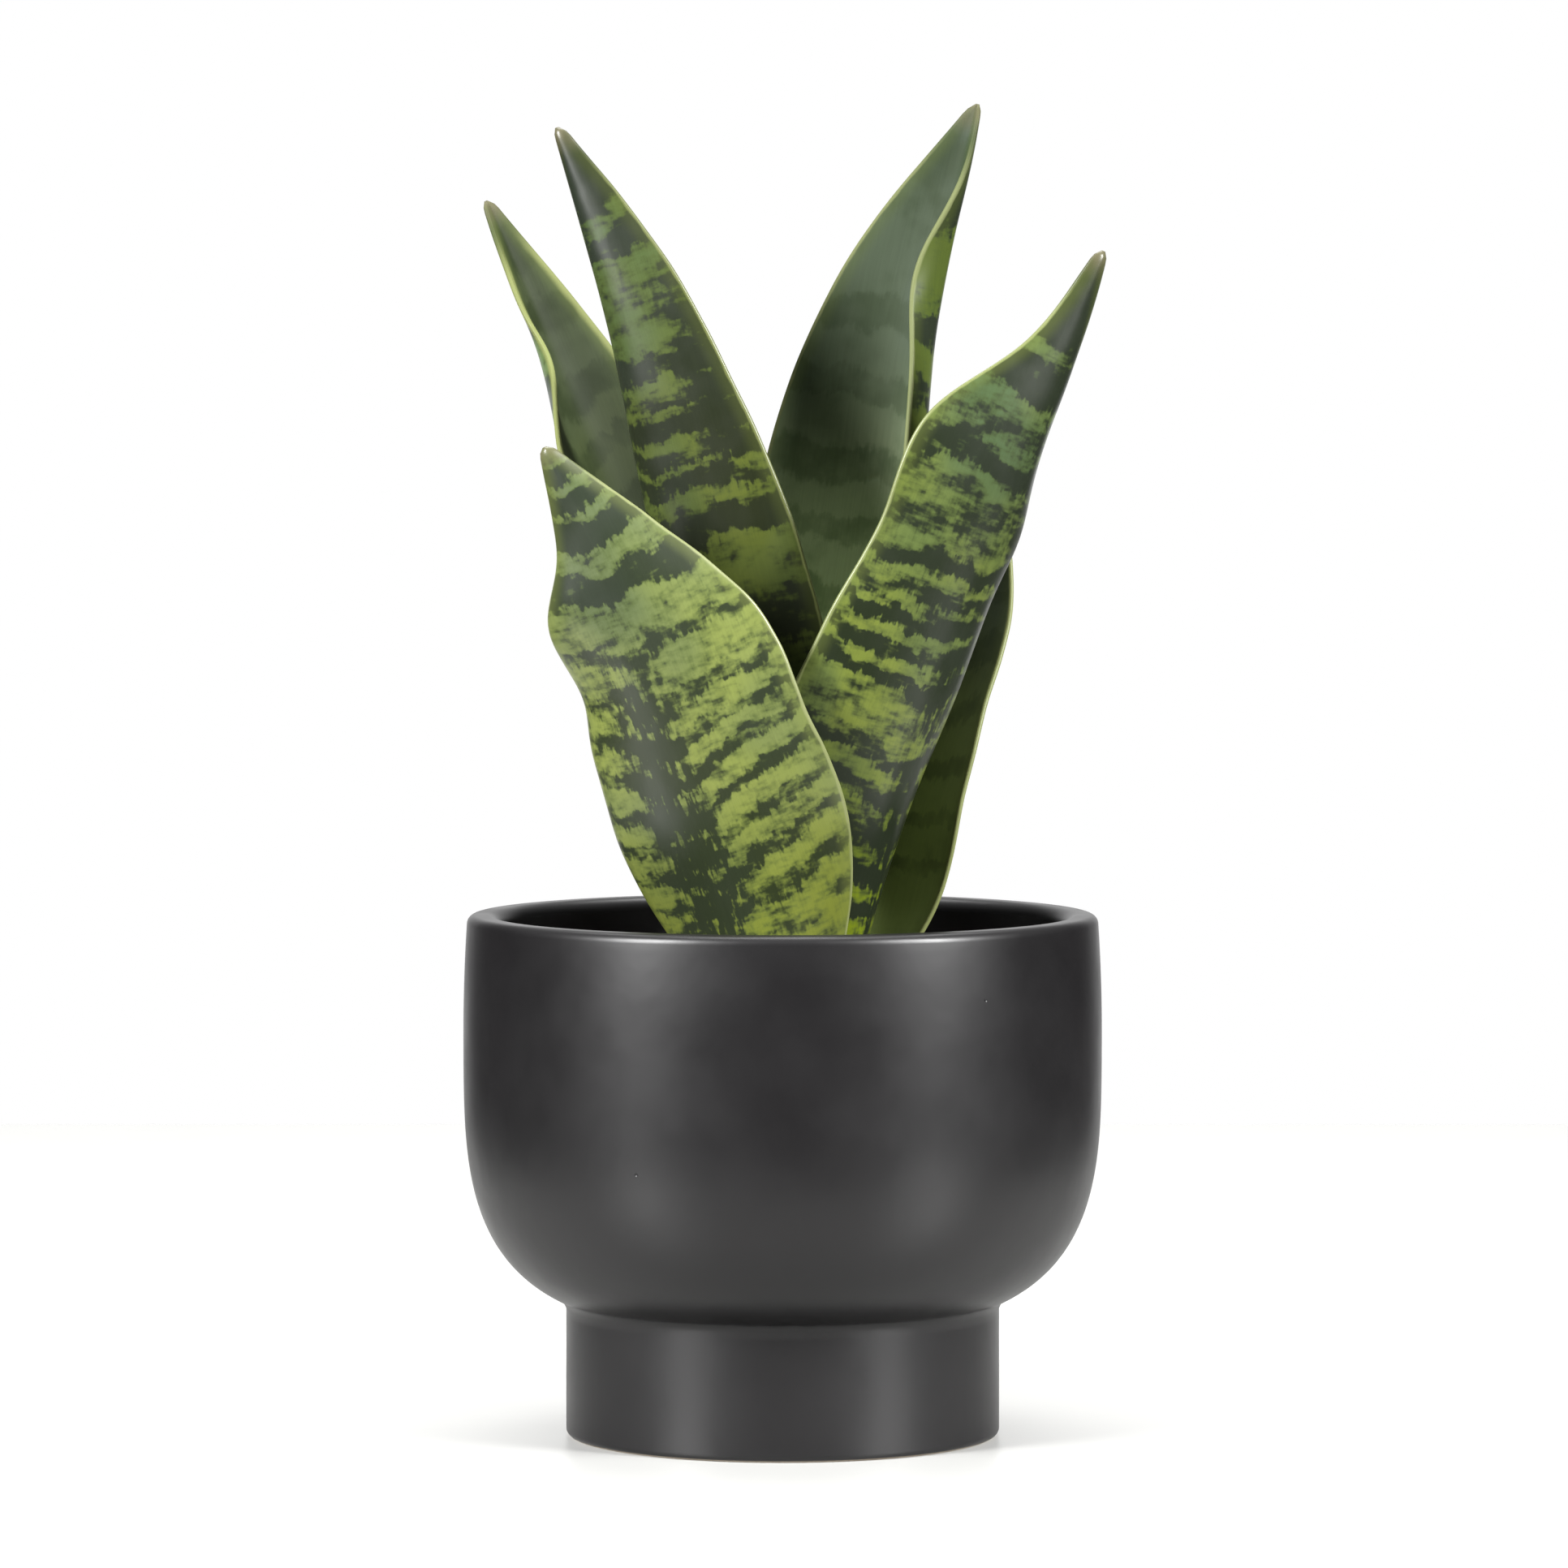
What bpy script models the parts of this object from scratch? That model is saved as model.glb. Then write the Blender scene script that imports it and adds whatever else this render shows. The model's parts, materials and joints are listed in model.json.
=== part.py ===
"""A young snake plant in a footed ceramic pot.

Six stiff leaves stand in a rosette of three opposite pairs. They grow from one short
rhizome, which is bedded in potting mix. The mix fills a turned pot: a round bowl on a
straight cylindrical foot, in black glaze.

Units are metres, +Z is up, and the origin is the centre of the foot's underside.
"""
import bmesh
import bpy
import numpy as np
from math import cos, pi, radians, sin

MM = 0.001
GAP = 0.35 * MM                    # free space between pieces that rest on each other

# Pot: outside
BOWL_RADIUS = 70.0 * MM            # widest, at BELLY_HEIGHT
BELLY_HEIGHT = 88.0 * MM
BOWL_DEPTH = 64.0 * MM             # from the belly down to where the curve would close
BOWL_POWER = 3.5                   # superellipse power of the bowl's section
RIM_RADIUS = 69.2 * MM
POT_HEIGHT = 114.5 * MM
FOOT_RADIUS = 47.6 * MM
FOOT_HEIGHT = 28.8 * MM
FOOT_EDGE = 1.5 * MM               # rounding of the foot's bottom edge
RECESS_RADIUS = 39.0 * MM          # hollow under the foot, inside its standing ring
RECESS_DEPTH = 2.5 * MM

# Pot: inside
WALL = 6.6 * MM
LIP_OUTER_ROUND = 2.0 * MM
LIP_INNER_ROUND = 3.0 * MM
WELL_RADIUS = 41.0 * MM            # the inside of the foot
FLOOR_THICKNESS = 7.5 * MM
WELL_ROUND = 4.0 * MM
TURN_STEPS = 36

# Potting mix
MIX_EDGE_HEIGHT = 92.0 * MM        # where its surface meets the wall
MIX_MIDDLE_HEIGHT = 94.0 * MM

# Rhizome
RHIZOME_RADIUS = 25.0 * MM
RHIZOME_HEIGHT = 16.0 * MM
RHIZOME_TOP = 78.4 * MM
RHIZOME_ROUND = 6.0 * MM
RHIZOME_CENTRE = (2.0 * MM, 0.0)
RHIZOME_NARROWING = 0.8            # its X size as a share of its Y size

# Leaves: a folded blade, thick along the keel and thin at its margins
KEEL_THICKNESS_BASE = 3.0 * MM
KEEL_THICKNESS_TIP = 1.5 * MM
MARGIN_THICKNESS = 1.1 * MM
LEAF_ROWS = 18                     # steps from base to tip
HALF_COLUMNS = 4                   # steps from keel to margin
POCKET_ROWS = 3                    # rows of a leaf that stand in the mix
POCKET_BELOW = 0.03                # how far a pocket goes on below its leaf, as a share of it

# Each leaf is given at even steps from its base to its tip: the keel's path in mm, the
# way its outer face looks in degrees from +X, the flat width of each half in mm, and how
# far each half has turned in at its margin, in degrees. Left and right are as seen from
# outside the rosette. "crease" is how close to the keel the fold happens, as a share of
# the half's width. A ripple is (place along the leaf, length, mm that the margin leans
# outwards).
LEAVES = {
    "leaf_front_left": dict(
        keel=[(0, -18, 80), (-9, -25, 115), (-22, -32, 150), (-35, -37, 184), (-51, -37, 217)],
        facing=[-100, -108, -112],
        left_width=[10, 21, 27, 26, 24, 11, 1],
        right_width=[10, 21, 29, 29, 27, 14, 1],
        left_fold=[70, 60, 50, 50, 40],
        right_fold=[60, 35, 20, 30, 40],
        crease=0.5,
        left_ripples=[(0.35, 0.10, 2), (0.61, 0.05, -1.5), (0.76, 0.07, 5)]),
    "leaf_tall_left": dict(
        keel=[(-3, -6, 82), (-12, -9, 135), (-22, -11, 190), (-34, -12, 240), (-49, -10, 286)],
        facing=[-120, -125, -130],
        left_width=[7, 18, 28, 27, 20, 9, 1],
        right_width=[6, 13, 27, 27, 21, 13, 1],
        left_fold=[75, 80, 75, 70, 60],
        right_fold=[70, 40, 35, 35, 40],
        crease=0.4),
    "leaf_back_left": dict(
        keel=[(-11, 9, 80), (-19, 16, 118), (-28, 23, 157), (-36, 28, 196), (-51, 29, 236),
              (-66, 27, 271)],
        facing=[140, 140, 140],
        left_width=[7, 17, 28, 27, 21, 11, 1],
        right_width=[6, 17, 27, 31, 31, 10, 1],
        left_fold=[70, 40, 35, 35, 30],
        right_fold=[80, 60, 60, 45, 25],
        crease=0.3,
        right_ripples=[(0.69, 0.05, 3), (0.80, 0.05, -2.5)]),
    "leaf_tall_right": dict(
        keel=[(4, 5, 82), (15, 11, 138), (24, 15, 190), (31, 17, 240), (43, 15, 292)],
        facing=[50, 50, 50],
        left_width=[5, 14, 27, 27, 20, 11, 1],
        right_width=[7, 17, 31, 33, 30, 19, 1],
        left_fold=[80, 70, 70, 75, 45],
        right_fold=[70, 45, 35, 30, 30],
        crease=0.4,
        left_ripples=[(0.82, 0.08, -5.5)]),
    "leaf_front_right": dict(
        keel=[(10, -7, 80), (18, -15, 125), (33, -23, 170), (51, -28, 215), (69, -26, 259)],
        facing=[-55, -55, -55],
        left_width=[5, 12, 26, 30, 28, 24.5, 24, 8, 1],
        right_width=[8, 18, 26, 27, 20, 11, 1],
        left_fold=[70, 40, 35, 35, 30],
        right_fold=[80, 75, 70, 70, 40],
        crease=0.3,
        right_ripples=[(0.655, 0.06, 5)]),
    "leaf_back_right": dict(
        keel=[(11, 17, 80), (19, 24, 115), (28, 30, 152), (38, 34, 190), (46, 32, 228)],
        facing=[80, 80, 80],
        left_width=[8, 16, 23, 23, 20, 11, 1],
        right_width=[7, 17, 25, 25, 20, 10, 1],
        left_fold=[75, 50, 70, 35, 40],
        right_fold=[70, 45, 45, 40, 40],
        crease=0.4,
        left_ripples=[(0.50, 0.10, 3)]),
}


def clear_scene():
    for thing in list(bpy.data.objects):
        bpy.data.objects.remove(thing)


def new_collection(name):
    collection = bpy.data.collections.new(name)
    bpy.context.scene.collection.children.link(collection)
    return collection


def new_material(name, colour, roughness, metallic=0.0):
    material = bpy.data.materials.new(name)
    material.use_nodes = True
    shader = material.node_tree.nodes["Principled BSDF"]
    shader.inputs["Base Color"].default_value = (*colour, 1.0)
    shader.inputs["Roughness"].default_value = roughness
    shader.inputs["Metallic"].default_value = metallic
    material.diffuse_color = (*colour, 1.0)
    return material


def new_object(name, mesh, collection, material=None):
    thing = bpy.data.objects.new(name, mesh)
    collection.objects.link(thing)
    if material:
        mesh.materials.append(material)
    return thing


def make_cutter(thing):
    thing.hide_render = True
    thing.display_type = "WIRE"


# ---------------------------------------------------------------- turned pieces

def arc(centre, radius, start, end, steps):
    """Points (r, z) on an arc, with angles in degrees from the +r direction."""
    angles = np.radians(np.linspace(start, end, steps + 1))
    return [(centre[0] + radius * cos(a), centre[1] + radius * sin(a)) for a in angles]


def superellipse(width, depth, radius_at_foot, steps):
    """The bowl's section below its belly, from the top down to where it meets radius_at_foot."""
    lowest = np.arccos((radius_at_foot / width) ** (BOWL_POWER / 2))
    points = []
    for angle in np.linspace(0, lowest, steps + 1):
        radius = width * cos(angle) ** (2 / BOWL_POWER)
        drop = depth * sin(angle) ** (2 / BOWL_POWER)
        points.append((radius, BELLY_HEIGHT - drop))
    return points


def outer_wall():
    """From the top of the lip down to the standing ring, and in under the foot."""
    lip = arc((RIM_RADIUS - LIP_OUTER_ROUND, POT_HEIGHT - LIP_OUTER_ROUND), LIP_OUTER_ROUND, 90, 0, 3)
    upper = [(RIM_RADIUS + 0.6 * MM, 101.0 * MM)]
    bowl = superellipse(BOWL_RADIUS, BOWL_DEPTH, FOOT_RADIUS + 0.6 * MM, 9)
    foot_top = [(FOOT_RADIUS, FOOT_HEIGHT - 0.6 * MM)]
    foot_edge = arc((FOOT_RADIUS - FOOT_EDGE, FOOT_EDGE), FOOT_EDGE, 0, -90, 3)
    recess = [(RECESS_RADIUS, 0.0), (RECESS_RADIUS - 1.5 * MM, RECESS_DEPTH), (0.0, RECESS_DEPTH)]
    return lip + upper + bowl + foot_top + foot_edge + recess


def inner_wall():
    """From the middle of the floor out and up to where the lip's rounding starts."""
    floor = [(0.0, FLOOR_THICKNESS)]
    corner = arc((WELL_RADIUS - WELL_ROUND, FLOOR_THICKNESS + WELL_ROUND), WELL_ROUND, -90, 0, 3)
    inner_depth = BOWL_DEPTH - WALL
    bowl = superellipse(BOWL_RADIUS - WALL, inner_depth, WELL_RADIUS, 8)[::-1]
    top = [(RIM_RADIUS - WALL - 0.8 * MM, POT_HEIGHT - LIP_INNER_ROUND)]
    return floor + corner + bowl + top


def turned(name, profile, collection, material):
    """A profile in the XZ plane turned once round Z. It runs down its outer side."""
    mesh = bpy.data.meshes.new(name)
    points = [(radius, 0.0, height) for radius, height in profile]
    mesh.from_pydata(points, [(i, i + 1) for i in range(len(points) - 1)], [])
    thing = new_object(name, mesh, collection, material)
    screw = thing.modifiers.new("Turn", "SCREW")
    screw.steps = TURN_STEPS
    screw.render_steps = TURN_STEPS
    screw.use_merge_vertices = True
    screw.merge_threshold = 0.01 * MM
    screw.use_smooth_shade = True
    return thing


def make_pot(collection):
    inside = inner_wall()
    lip_start = inside[-1]
    lip_centre = (lip_start[0] + LIP_INNER_ROUND, POT_HEIGHT - LIP_INNER_ROUND)
    inner_lip = arc(lip_centre, LIP_INNER_ROUND, 180, 90, 4)[1:]
    glaze = new_material("black_glazed_ceramic", (0.020, 0.019, 0.020), 0.38)
    return turned("footed_pot", inside + inner_lip + outer_wall(), collection, glaze)


def mix_profile():
    """The pot's inside, GAP smaller all round, closed by a slightly domed surface."""
    wall = [(radius - GAP, height + GAP) for radius, height in inner_wall()[1:]]
    below = [point for point in wall if point[1] < MIX_EDGE_HEIGHT]
    above = wall[len(below)]
    share = (MIX_EDGE_HEIGHT - below[-1][1]) / (above[1] - below[-1][1])
    edge = (below[-1][0] + share * (above[0] - below[-1][0]), MIX_EDGE_HEIGHT)
    top = [(0.0, MIX_MIDDLE_HEIGHT), (edge[0] * 0.5, MIX_MIDDLE_HEIGHT - 0.5 * MM), edge]
    return top + below[::-1] + [(0.0, FLOOR_THICKNESS + GAP)]


# ---------------------------------------------------------------- leaves

def through(values, places):
    """A smooth curve through evenly spaced values, read at places from 0 to 1."""
    points = np.asarray(values, float)
    before = 2 * points[0] - points[1]
    after = 2 * points[-1] - points[-2]
    points = np.concatenate([[before], points, [after]])
    spans = len(points) - 3
    x = np.asarray(places, float) * spans
    first = np.clip(np.floor(x).astype(int), 0, spans - 1)
    f = x - first
    if points.ndim == 2:
        f = f[:, None]
    a, b, c, d = points[first], points[first + 1], points[first + 2], points[first + 3]
    slope = c - a
    bend = 2 * a - 5 * b + 4 * c - d
    twist = 3 * b - a - 3 * c + d
    return b + 0.5 * f * (slope + f * (bend + f * twist))


def unit(vectors):
    return vectors / np.linalg.norm(vectors, axis=1)[:, None]


def half_blade(leaf, side, along, extra_width):
    """One half's section in each row: distance sideways and inwards from the keel, in mm."""
    on_leaf = np.maximum(along, 0)
    width = through(leaf[side + "_width"], on_leaf) + extra_width
    fold = np.radians(through(leaf[side + "_fold"], on_leaf))
    crease = leaf["crease"]
    across = np.linspace(0, 1, HALF_COLUMNS * 4 + 1)
    turned_in = (1 - np.exp(-across / crease)) / (1 - np.exp(-1 / crease))
    heading = fold[:, None] * turned_in
    middle = (heading[:, 1:] + heading[:, :-1]) / 2
    step = width[:, None] / (len(across) - 1)
    start = np.zeros((len(along), 1))
    sideways = np.concatenate([start, np.cumsum(np.cos(middle) * step, axis=1)], axis=1)
    inwards = np.concatenate([start, np.cumsum(np.sin(middle) * step, axis=1)], axis=1)
    lean = np.zeros(len(along))
    for place, length, size in leaf.get(side + "_ripples", []):
        lean += size * np.exp(-((along - place) / length) ** 2)
    lean = lean[:, None] * across ** 2
    sideways += np.sin(heading) * lean
    inwards -= np.cos(heading) * lean
    return sideways[:, ::4], inwards[:, ::4]


def blade_points(leaf, along, extra_width=0.0):
    """The blade's middle surface as rows of points, left margin to right margin, in mm."""
    keel = through(leaf["keel"], along)
    tangent = unit(through(leaf["keel"], along + 0.01) - through(leaf["keel"], along - 0.01))
    facing = np.radians(through(leaf["facing"], along))
    outwards = np.stack([np.cos(facing), np.sin(facing), 0 * facing], axis=1)
    outwards = unit(outwards - np.sum(outwards * tangent, axis=1)[:, None] * tangent)
    to_right = np.cross(tangent, outwards)
    rows = np.zeros((len(along), 2 * HALF_COLUMNS + 1, 3))
    for side, sign in (("left", -1), ("right", 1)):
        sideways, inwards = half_blade(leaf, side, along, extra_width)
        half = (keel[:, None] + sign * to_right[:, None] * sideways[:, :, None]
                - outwards[:, None] * inwards[:, :, None])
        if side == "left":
            rows[:, :HALF_COLUMNS + 1] = half[:, ::-1]
        else:
            rows[:, HALF_COLUMNS:] = half
    return rows


def blade_mesh(name, leaf, along, extra_width=0.0, extra_thickness=0.0):
    """The blade as an open sheet, and the thickness of each of its points."""
    rows = blade_points(leaf, along, extra_width) * MM
    across = np.abs(np.linspace(-1, 1, rows.shape[1]))
    model = bmesh.new()
    grid = [[model.verts.new(point) for point in row] for row in rows]
    for low, high in zip(grid, grid[1:]):
        for i in range(len(low) - 1):
            model.faces.new((low[i], low[i + 1], high[i + 1], high[i]))
    mesh = bpy.data.meshes.new(name)
    model.to_mesh(mesh)
    model.free()
    mesh.shade_smooth()
    keel = KEEL_THICKNESS_BASE + (KEEL_THICKNESS_TIP - KEEL_THICKNESS_BASE) * np.clip(along, 0, 1)
    thickness = keel[:, None] + (MARGIN_THICKNESS - keel[:, None]) * across ** 2
    return mesh, (thickness + extra_thickness).ravel()


def thicken(thing, thickness):
    """Solidify about the sheet, with the given thickness at each of its points."""
    thickest = float(thickness.max())
    group = thing.vertex_groups.new(name="thickness")
    for index, value in enumerate(thickness):
        group.add([index], float(value) / thickest, "REPLACE")
    solidify = thing.modifiers.new("Thickness", "SOLIDIFY")
    solidify.thickness = thickest
    solidify.offset = 0.0
    solidify.vertex_group = group.name
    solidify.use_even_offset = True
    solidify.use_quality_normals = True


def make_leaf(name, leaf, collection, material):
    along = np.linspace(0, 1, LEAF_ROWS + 1)
    mesh, thickness = blade_mesh(name, leaf, along)
    thing = new_object(name, mesh, collection, material)
    thicken(thing, thickness)


def make_leaf_cutter(name, leaf, collection):
    """The space that a leaf's base takes up in the mix, down into the rhizome's space."""
    along = np.concatenate([[-POCKET_BELOW], np.arange(POCKET_ROWS + 1) / LEAF_ROWS])
    mesh, thickness = blade_mesh(name, leaf, along, extra_width=GAP / MM, extra_thickness=2 * GAP)
    thing = new_object(name, mesh, collection)
    thicken(thing, thickness)
    make_cutter(thing)


# ---------------------------------------------------------------- rhizome and mix

def make_rhizome(name, collection, material=None, extra=0.0):
    """A squat knuckle with rounded edges. Its top carries the leaves."""
    radius = RHIZOME_RADIUS + extra
    height = RHIZOME_HEIGHT + 2 * extra
    mesh = bpy.data.meshes.new(name)
    model = bmesh.new()
    bmesh.ops.create_cone(model, cap_ends=True, segments=24, radius1=radius, radius2=radius,
                          depth=height)
    bmesh.ops.scale(model, verts=model.verts, vec=(RHIZOME_NARROWING, 1.0, 1.0))
    model.to_mesh(mesh)
    model.free()
    mesh.shade_smooth()
    thing = new_object(name, mesh, collection, material)
    thing.location = (*RHIZOME_CENTRE, RHIZOME_TOP - RHIZOME_HEIGHT / 2)
    bevel = thing.modifiers.new("Round edges", "BEVEL")
    bevel.width = RHIZOME_ROUND
    bevel.segments = 3
    bevel.limit_method = "ANGLE"
    bevel.angle_limit = radians(50)
    return thing


def make_mix(collection, cutters):
    bark = new_material("potting_mix", (0.055, 0.035, 0.022), 0.95)
    mix = turned("potting_mix", mix_profile(), collection, bark)
    cut = mix.modifiers.new("Room for the plant", "BOOLEAN")
    cut.operation = "DIFFERENCE"
    cut.solver = "EXACT"
    cut.operand_type = "COLLECTION"
    cut.collection = cutters


def main():
    clear_scene()
    parts = new_collection("potted_snake_plant")
    cutters = new_collection("cutters")
    make_pot(parts)
    root = new_material("pale_rhizome", (0.55, 0.36, 0.16), 0.7)
    make_rhizome("rhizome", parts, root)
    make_cutter(make_rhizome("rhizome_space", cutters, extra=GAP))
    for name, leaf in LEAVES.items():
        green = new_material(name + "_green", (0.10, 0.19, 0.05), 0.4)
        make_leaf(name, leaf, parts, green)
        make_leaf_cutter(name + "_space", leaf, cutters)
    make_mix(parts, cutters)


main()
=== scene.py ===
import json
import math

import bmesh
import bpy
import numpy as np
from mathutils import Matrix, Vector, noise

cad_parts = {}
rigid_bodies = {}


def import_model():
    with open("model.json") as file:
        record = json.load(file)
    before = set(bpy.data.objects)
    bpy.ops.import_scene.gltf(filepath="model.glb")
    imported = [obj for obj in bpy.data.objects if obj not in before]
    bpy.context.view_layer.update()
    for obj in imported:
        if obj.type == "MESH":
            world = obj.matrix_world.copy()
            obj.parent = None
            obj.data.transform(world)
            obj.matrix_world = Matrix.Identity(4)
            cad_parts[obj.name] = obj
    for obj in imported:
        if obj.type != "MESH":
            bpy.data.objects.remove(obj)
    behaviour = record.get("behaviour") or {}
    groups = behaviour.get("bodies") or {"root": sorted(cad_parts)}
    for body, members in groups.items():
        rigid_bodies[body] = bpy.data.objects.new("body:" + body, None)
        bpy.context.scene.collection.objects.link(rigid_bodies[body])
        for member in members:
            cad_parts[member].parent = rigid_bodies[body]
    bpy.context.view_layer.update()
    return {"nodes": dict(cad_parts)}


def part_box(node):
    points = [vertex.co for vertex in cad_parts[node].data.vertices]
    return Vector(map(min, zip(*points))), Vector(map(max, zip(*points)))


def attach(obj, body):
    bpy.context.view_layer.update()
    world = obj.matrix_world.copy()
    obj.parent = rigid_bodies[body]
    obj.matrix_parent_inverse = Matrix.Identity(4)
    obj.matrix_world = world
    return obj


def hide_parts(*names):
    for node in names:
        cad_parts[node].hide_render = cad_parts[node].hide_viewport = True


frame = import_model()

mm = 0.001
scene = bpy.context.scene
scene.view_settings.view_transform = "Standard"


def hexColour(code):
    # sRGB hex to the linear values that shaders work in
    channels = [int(code[i:i + 2], 16) / 255 for i in (1, 3, 5)]
    linear = [c / 12.92 if c <= 0.04045 else ((c + 0.055) / 1.055) ** 2.4 for c in channels]
    return (*linear, 1.0)


def setNode(tree, node, settings):
    # lower-case names are the node's own settings, the others are its inputs, each given a value,
    # another node's socket, or another node, which stands for its first output
    for name, value in settings.items():
        if isinstance(value, bpy.types.Node):
            value = value.outputs[0]
        if isinstance(name, str) and name[0].islower():
            setattr(node, name, value)
        elif isinstance(value, bpy.types.NodeSocket):
            tree.links.new(value, node.inputs[name])
        else:
            node.inputs[name].default_value = value
    return node


def addNode(tree, kind, settings):
    return setNode(tree, tree.nodes.new(kind), settings)


def newMaterial(name):
    material = bpy.data.materials.new(name)
    material.use_nodes = True
    tree = material.node_tree
    shader = tree.nodes["Principled BSDF"]
    return material, tree, shader


def newPiece(name, mesh, *materials):
    piece = bpy.data.objects.new(name, mesh)
    scene.collection.objects.link(piece)
    for material in materials:
        mesh.materials.append(material)
    return piece


def meshFromGrid(name, points, closeAround):
    # rows of points as one sheet; closeAround joins each row's last point to its first
    rows, columns = points.shape[:2]
    mesh = bpy.data.meshes.new(name)
    last = columns if closeAround else columns - 1
    faces = []
    for i in range(rows - 1):
        for j in range(last):
            k = (j + 1) % columns
            faces.append((i * columns + j, i * columns + k, (i + 1) * columns + k, (i + 1) * columns + j))
    return mesh, points.reshape(-1, 3), faces


def faceOutwards(mesh):
    model = bmesh.new()
    model.from_mesh(mesh)
    bmesh.ops.recalc_face_normals(model, faces=model.faces)
    if model.calc_volume(signed=True) < 0:
        bmesh.ops.reverse_faces(model, faces=model.faces)
    model.to_mesh(mesh)
    model.free()


def arc(centre, radius, start, end, steps):
    # points on a circle between two angles in degrees
    angles = np.radians(np.linspace(start, end, steps + 1))
    return [(centre[0] + radius * math.cos(a), centre[1] + radius * math.sin(a)) for a in angles]


# the camera, level with the plant's middle and a little above the rim

camera = dict(distance=1660 * mm, height=230 * mm, tiltDown=3.0, sideways=0.3 * mm, lens=174.2)


def makeCamera():
    data = bpy.data.cameras.new("camera")
    data.lens = camera["lens"]
    data.sensor_width = 36
    holder = bpy.data.objects.new("camera", data)
    scene.collection.objects.link(holder)
    holder.location = (camera["sideways"], -camera["distance"], camera["height"])
    holder.rotation_euler = (math.radians(90 - camera["tiltDown"]), 0, 0)
    scene.camera = holder


makeCamera()
print("camera set")

# the pot: slip-cast stoneware in satin black glaze

potLow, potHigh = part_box("footed_pot")
pot = dict(
    bowlRadius=(potHigh.x - potLow.x) / 2,
    potHeight=potHigh.z,
    bellyHeight=88 * mm,
    bowlDepth=64 * mm,
    bowlPower=3.5,
    rimRadius=69.2 * mm,
    footRadius=47.6 * mm,
    footHeight=28.8 * mm,
    footEdge=1.5 * mm,
    waistFillet=0.8 * mm,
    ringWidth=4 * mm,        # from the foot's edge to where the flat ring starts
    recessRadius=39 * mm,
    recessDepth=2.5 * mm,
    recessRound=1.5 * mm,
    recessEase=0.4 * mm,     # how far outside the hollow the ring ends
    recessCentre=0.8 * mm,   # height of the rounding's centre
    wall=6.6 * mm,
    lipOuterRound=2 * mm,
    lipInnerRound=3 * mm,
    lipSetback=0.8 * mm,
    wellRadius=41 * mm,
    wellRound=4 * mm,
    floorThickness=7.5 * mm,
    glazeIOR=1.40, glazeRoughness=(0.34, 0.40), bisqueRoughness=0.85,
    turnSteps=180,
    bowlSteps=60,
    wellSteps=48,
    unevenness=0.10 * mm,
    glazeColour="#0f0e0f",
    glazeDark="#0b0a0b",
    bisqueColour="#b8aa97",
)


def lowerBowl(width, depth, footRadius, steps):
    # the flattened curve from the belly down to the foot
    lowest = math.acos((footRadius / width) ** (pot["bowlPower"] / 2))
    share = 2 / pot["bowlPower"]
    points = []
    for angle in np.linspace(0, lowest, steps + 1):
        radius = width * math.cos(angle) ** share
        points.append((radius, pot["bellyHeight"] - depth * math.sin(angle) ** share))
    return points


def innerWall():
    # the inside from the floor's corner up to the lip
    corner = arc((pot["wellRadius"] - pot["wellRound"], pot["floorThickness"] + pot["wellRound"]),
                 pot["wellRound"], -90, 0, 6)
    bowl = lowerBowl(pot["bowlRadius"] - pot["wall"], pot["bowlDepth"] - pot["wall"],
                     pot["wellRadius"], pot["wellSteps"])
    top = (pot["rimRadius"] - pot["wall"] - pot["lipSetback"], pot["potHeight"] - pot["lipInnerRound"])
    return corner + bowl[::-1] + [top]


def potProfile():
    # from the middle of the floor up the inside, over the lip, down the outside and in under the foot
    flatRadius = pot["wellRadius"] - pot["wellRound"]
    floor = [(r, pot["floorThickness"]) for r in np.linspace(0, flatRadius, 9)[:-1]]
    inside = floor + innerWall()
    lipTop = pot["potHeight"] - pot["lipInnerRound"]
    innerLip = arc((inside[-1][0] + pot["lipInnerRound"], lipTop), pot["lipInnerRound"], 180, 90, 10)[1:]
    wallTop = pot["potHeight"] - pot["lipOuterRound"]
    outerLip = arc((pot["rimRadius"] - pot["lipOuterRound"], wallTop), pot["lipOuterRound"], 90, 0, 8)
    belly = pot["bellyHeight"]
    upper = []
    for height in np.linspace(wallTop, belly, 14)[1:-1]:
        share = (height - belly) / (wallTop - belly)
        upper.append((pot["bowlRadius"] - (pot["bowlRadius"] - pot["rimRadius"]) * share ** 2, height))
    bowl = lowerBowl(pot["bowlRadius"], pot["bowlDepth"], pot["footRadius"] + pot["waistFillet"],
                     pot["bowlSteps"])
    footTop = pot["footHeight"] - pot["waistFillet"]
    foot = [(pot["footRadius"], height) for height in np.linspace(footTop, pot["footEdge"], 16)[:-1]]
    footEdge = arc((pot["footRadius"] - pot["footEdge"], pot["footEdge"]), pot["footEdge"], 0, -90, 7)
    ring = [(pot["footRadius"] - pot["ringWidth"], 0), (pot["recessRadius"] + pot["recessEase"], 0)]
    hollow = arc((pot["recessRadius"] - pot["recessRound"], pot["recessCentre"]), pot["recessRound"],
                 -20, 60, 4)[1:]
    hollow += [(r, pot["recessDepth"]) for r in np.linspace(pot["recessRadius"] - 2 * mm, 0, 8)]
    return inside + innerLip + outerLip + upper + bowl + foot + footEdge + ring + hollow


def newGeometryTree(name, inputs):
    tree = bpy.data.node_groups.new(name, "GeometryNodeTree")
    tree.interface.new_socket("Geometry", in_out="INPUT", socket_type="NodeSocketGeometry")
    for label, kind in inputs.items():
        tree.interface.new_socket(label, in_out="INPUT", socket_type=kind)
    tree.interface.new_socket("Geometry", in_out="OUTPUT", socket_type="NodeSocketGeometry")
    return tree, tree.nodes.new("NodeGroupInput").outputs, tree.nodes.new("NodeGroupOutput")


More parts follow.
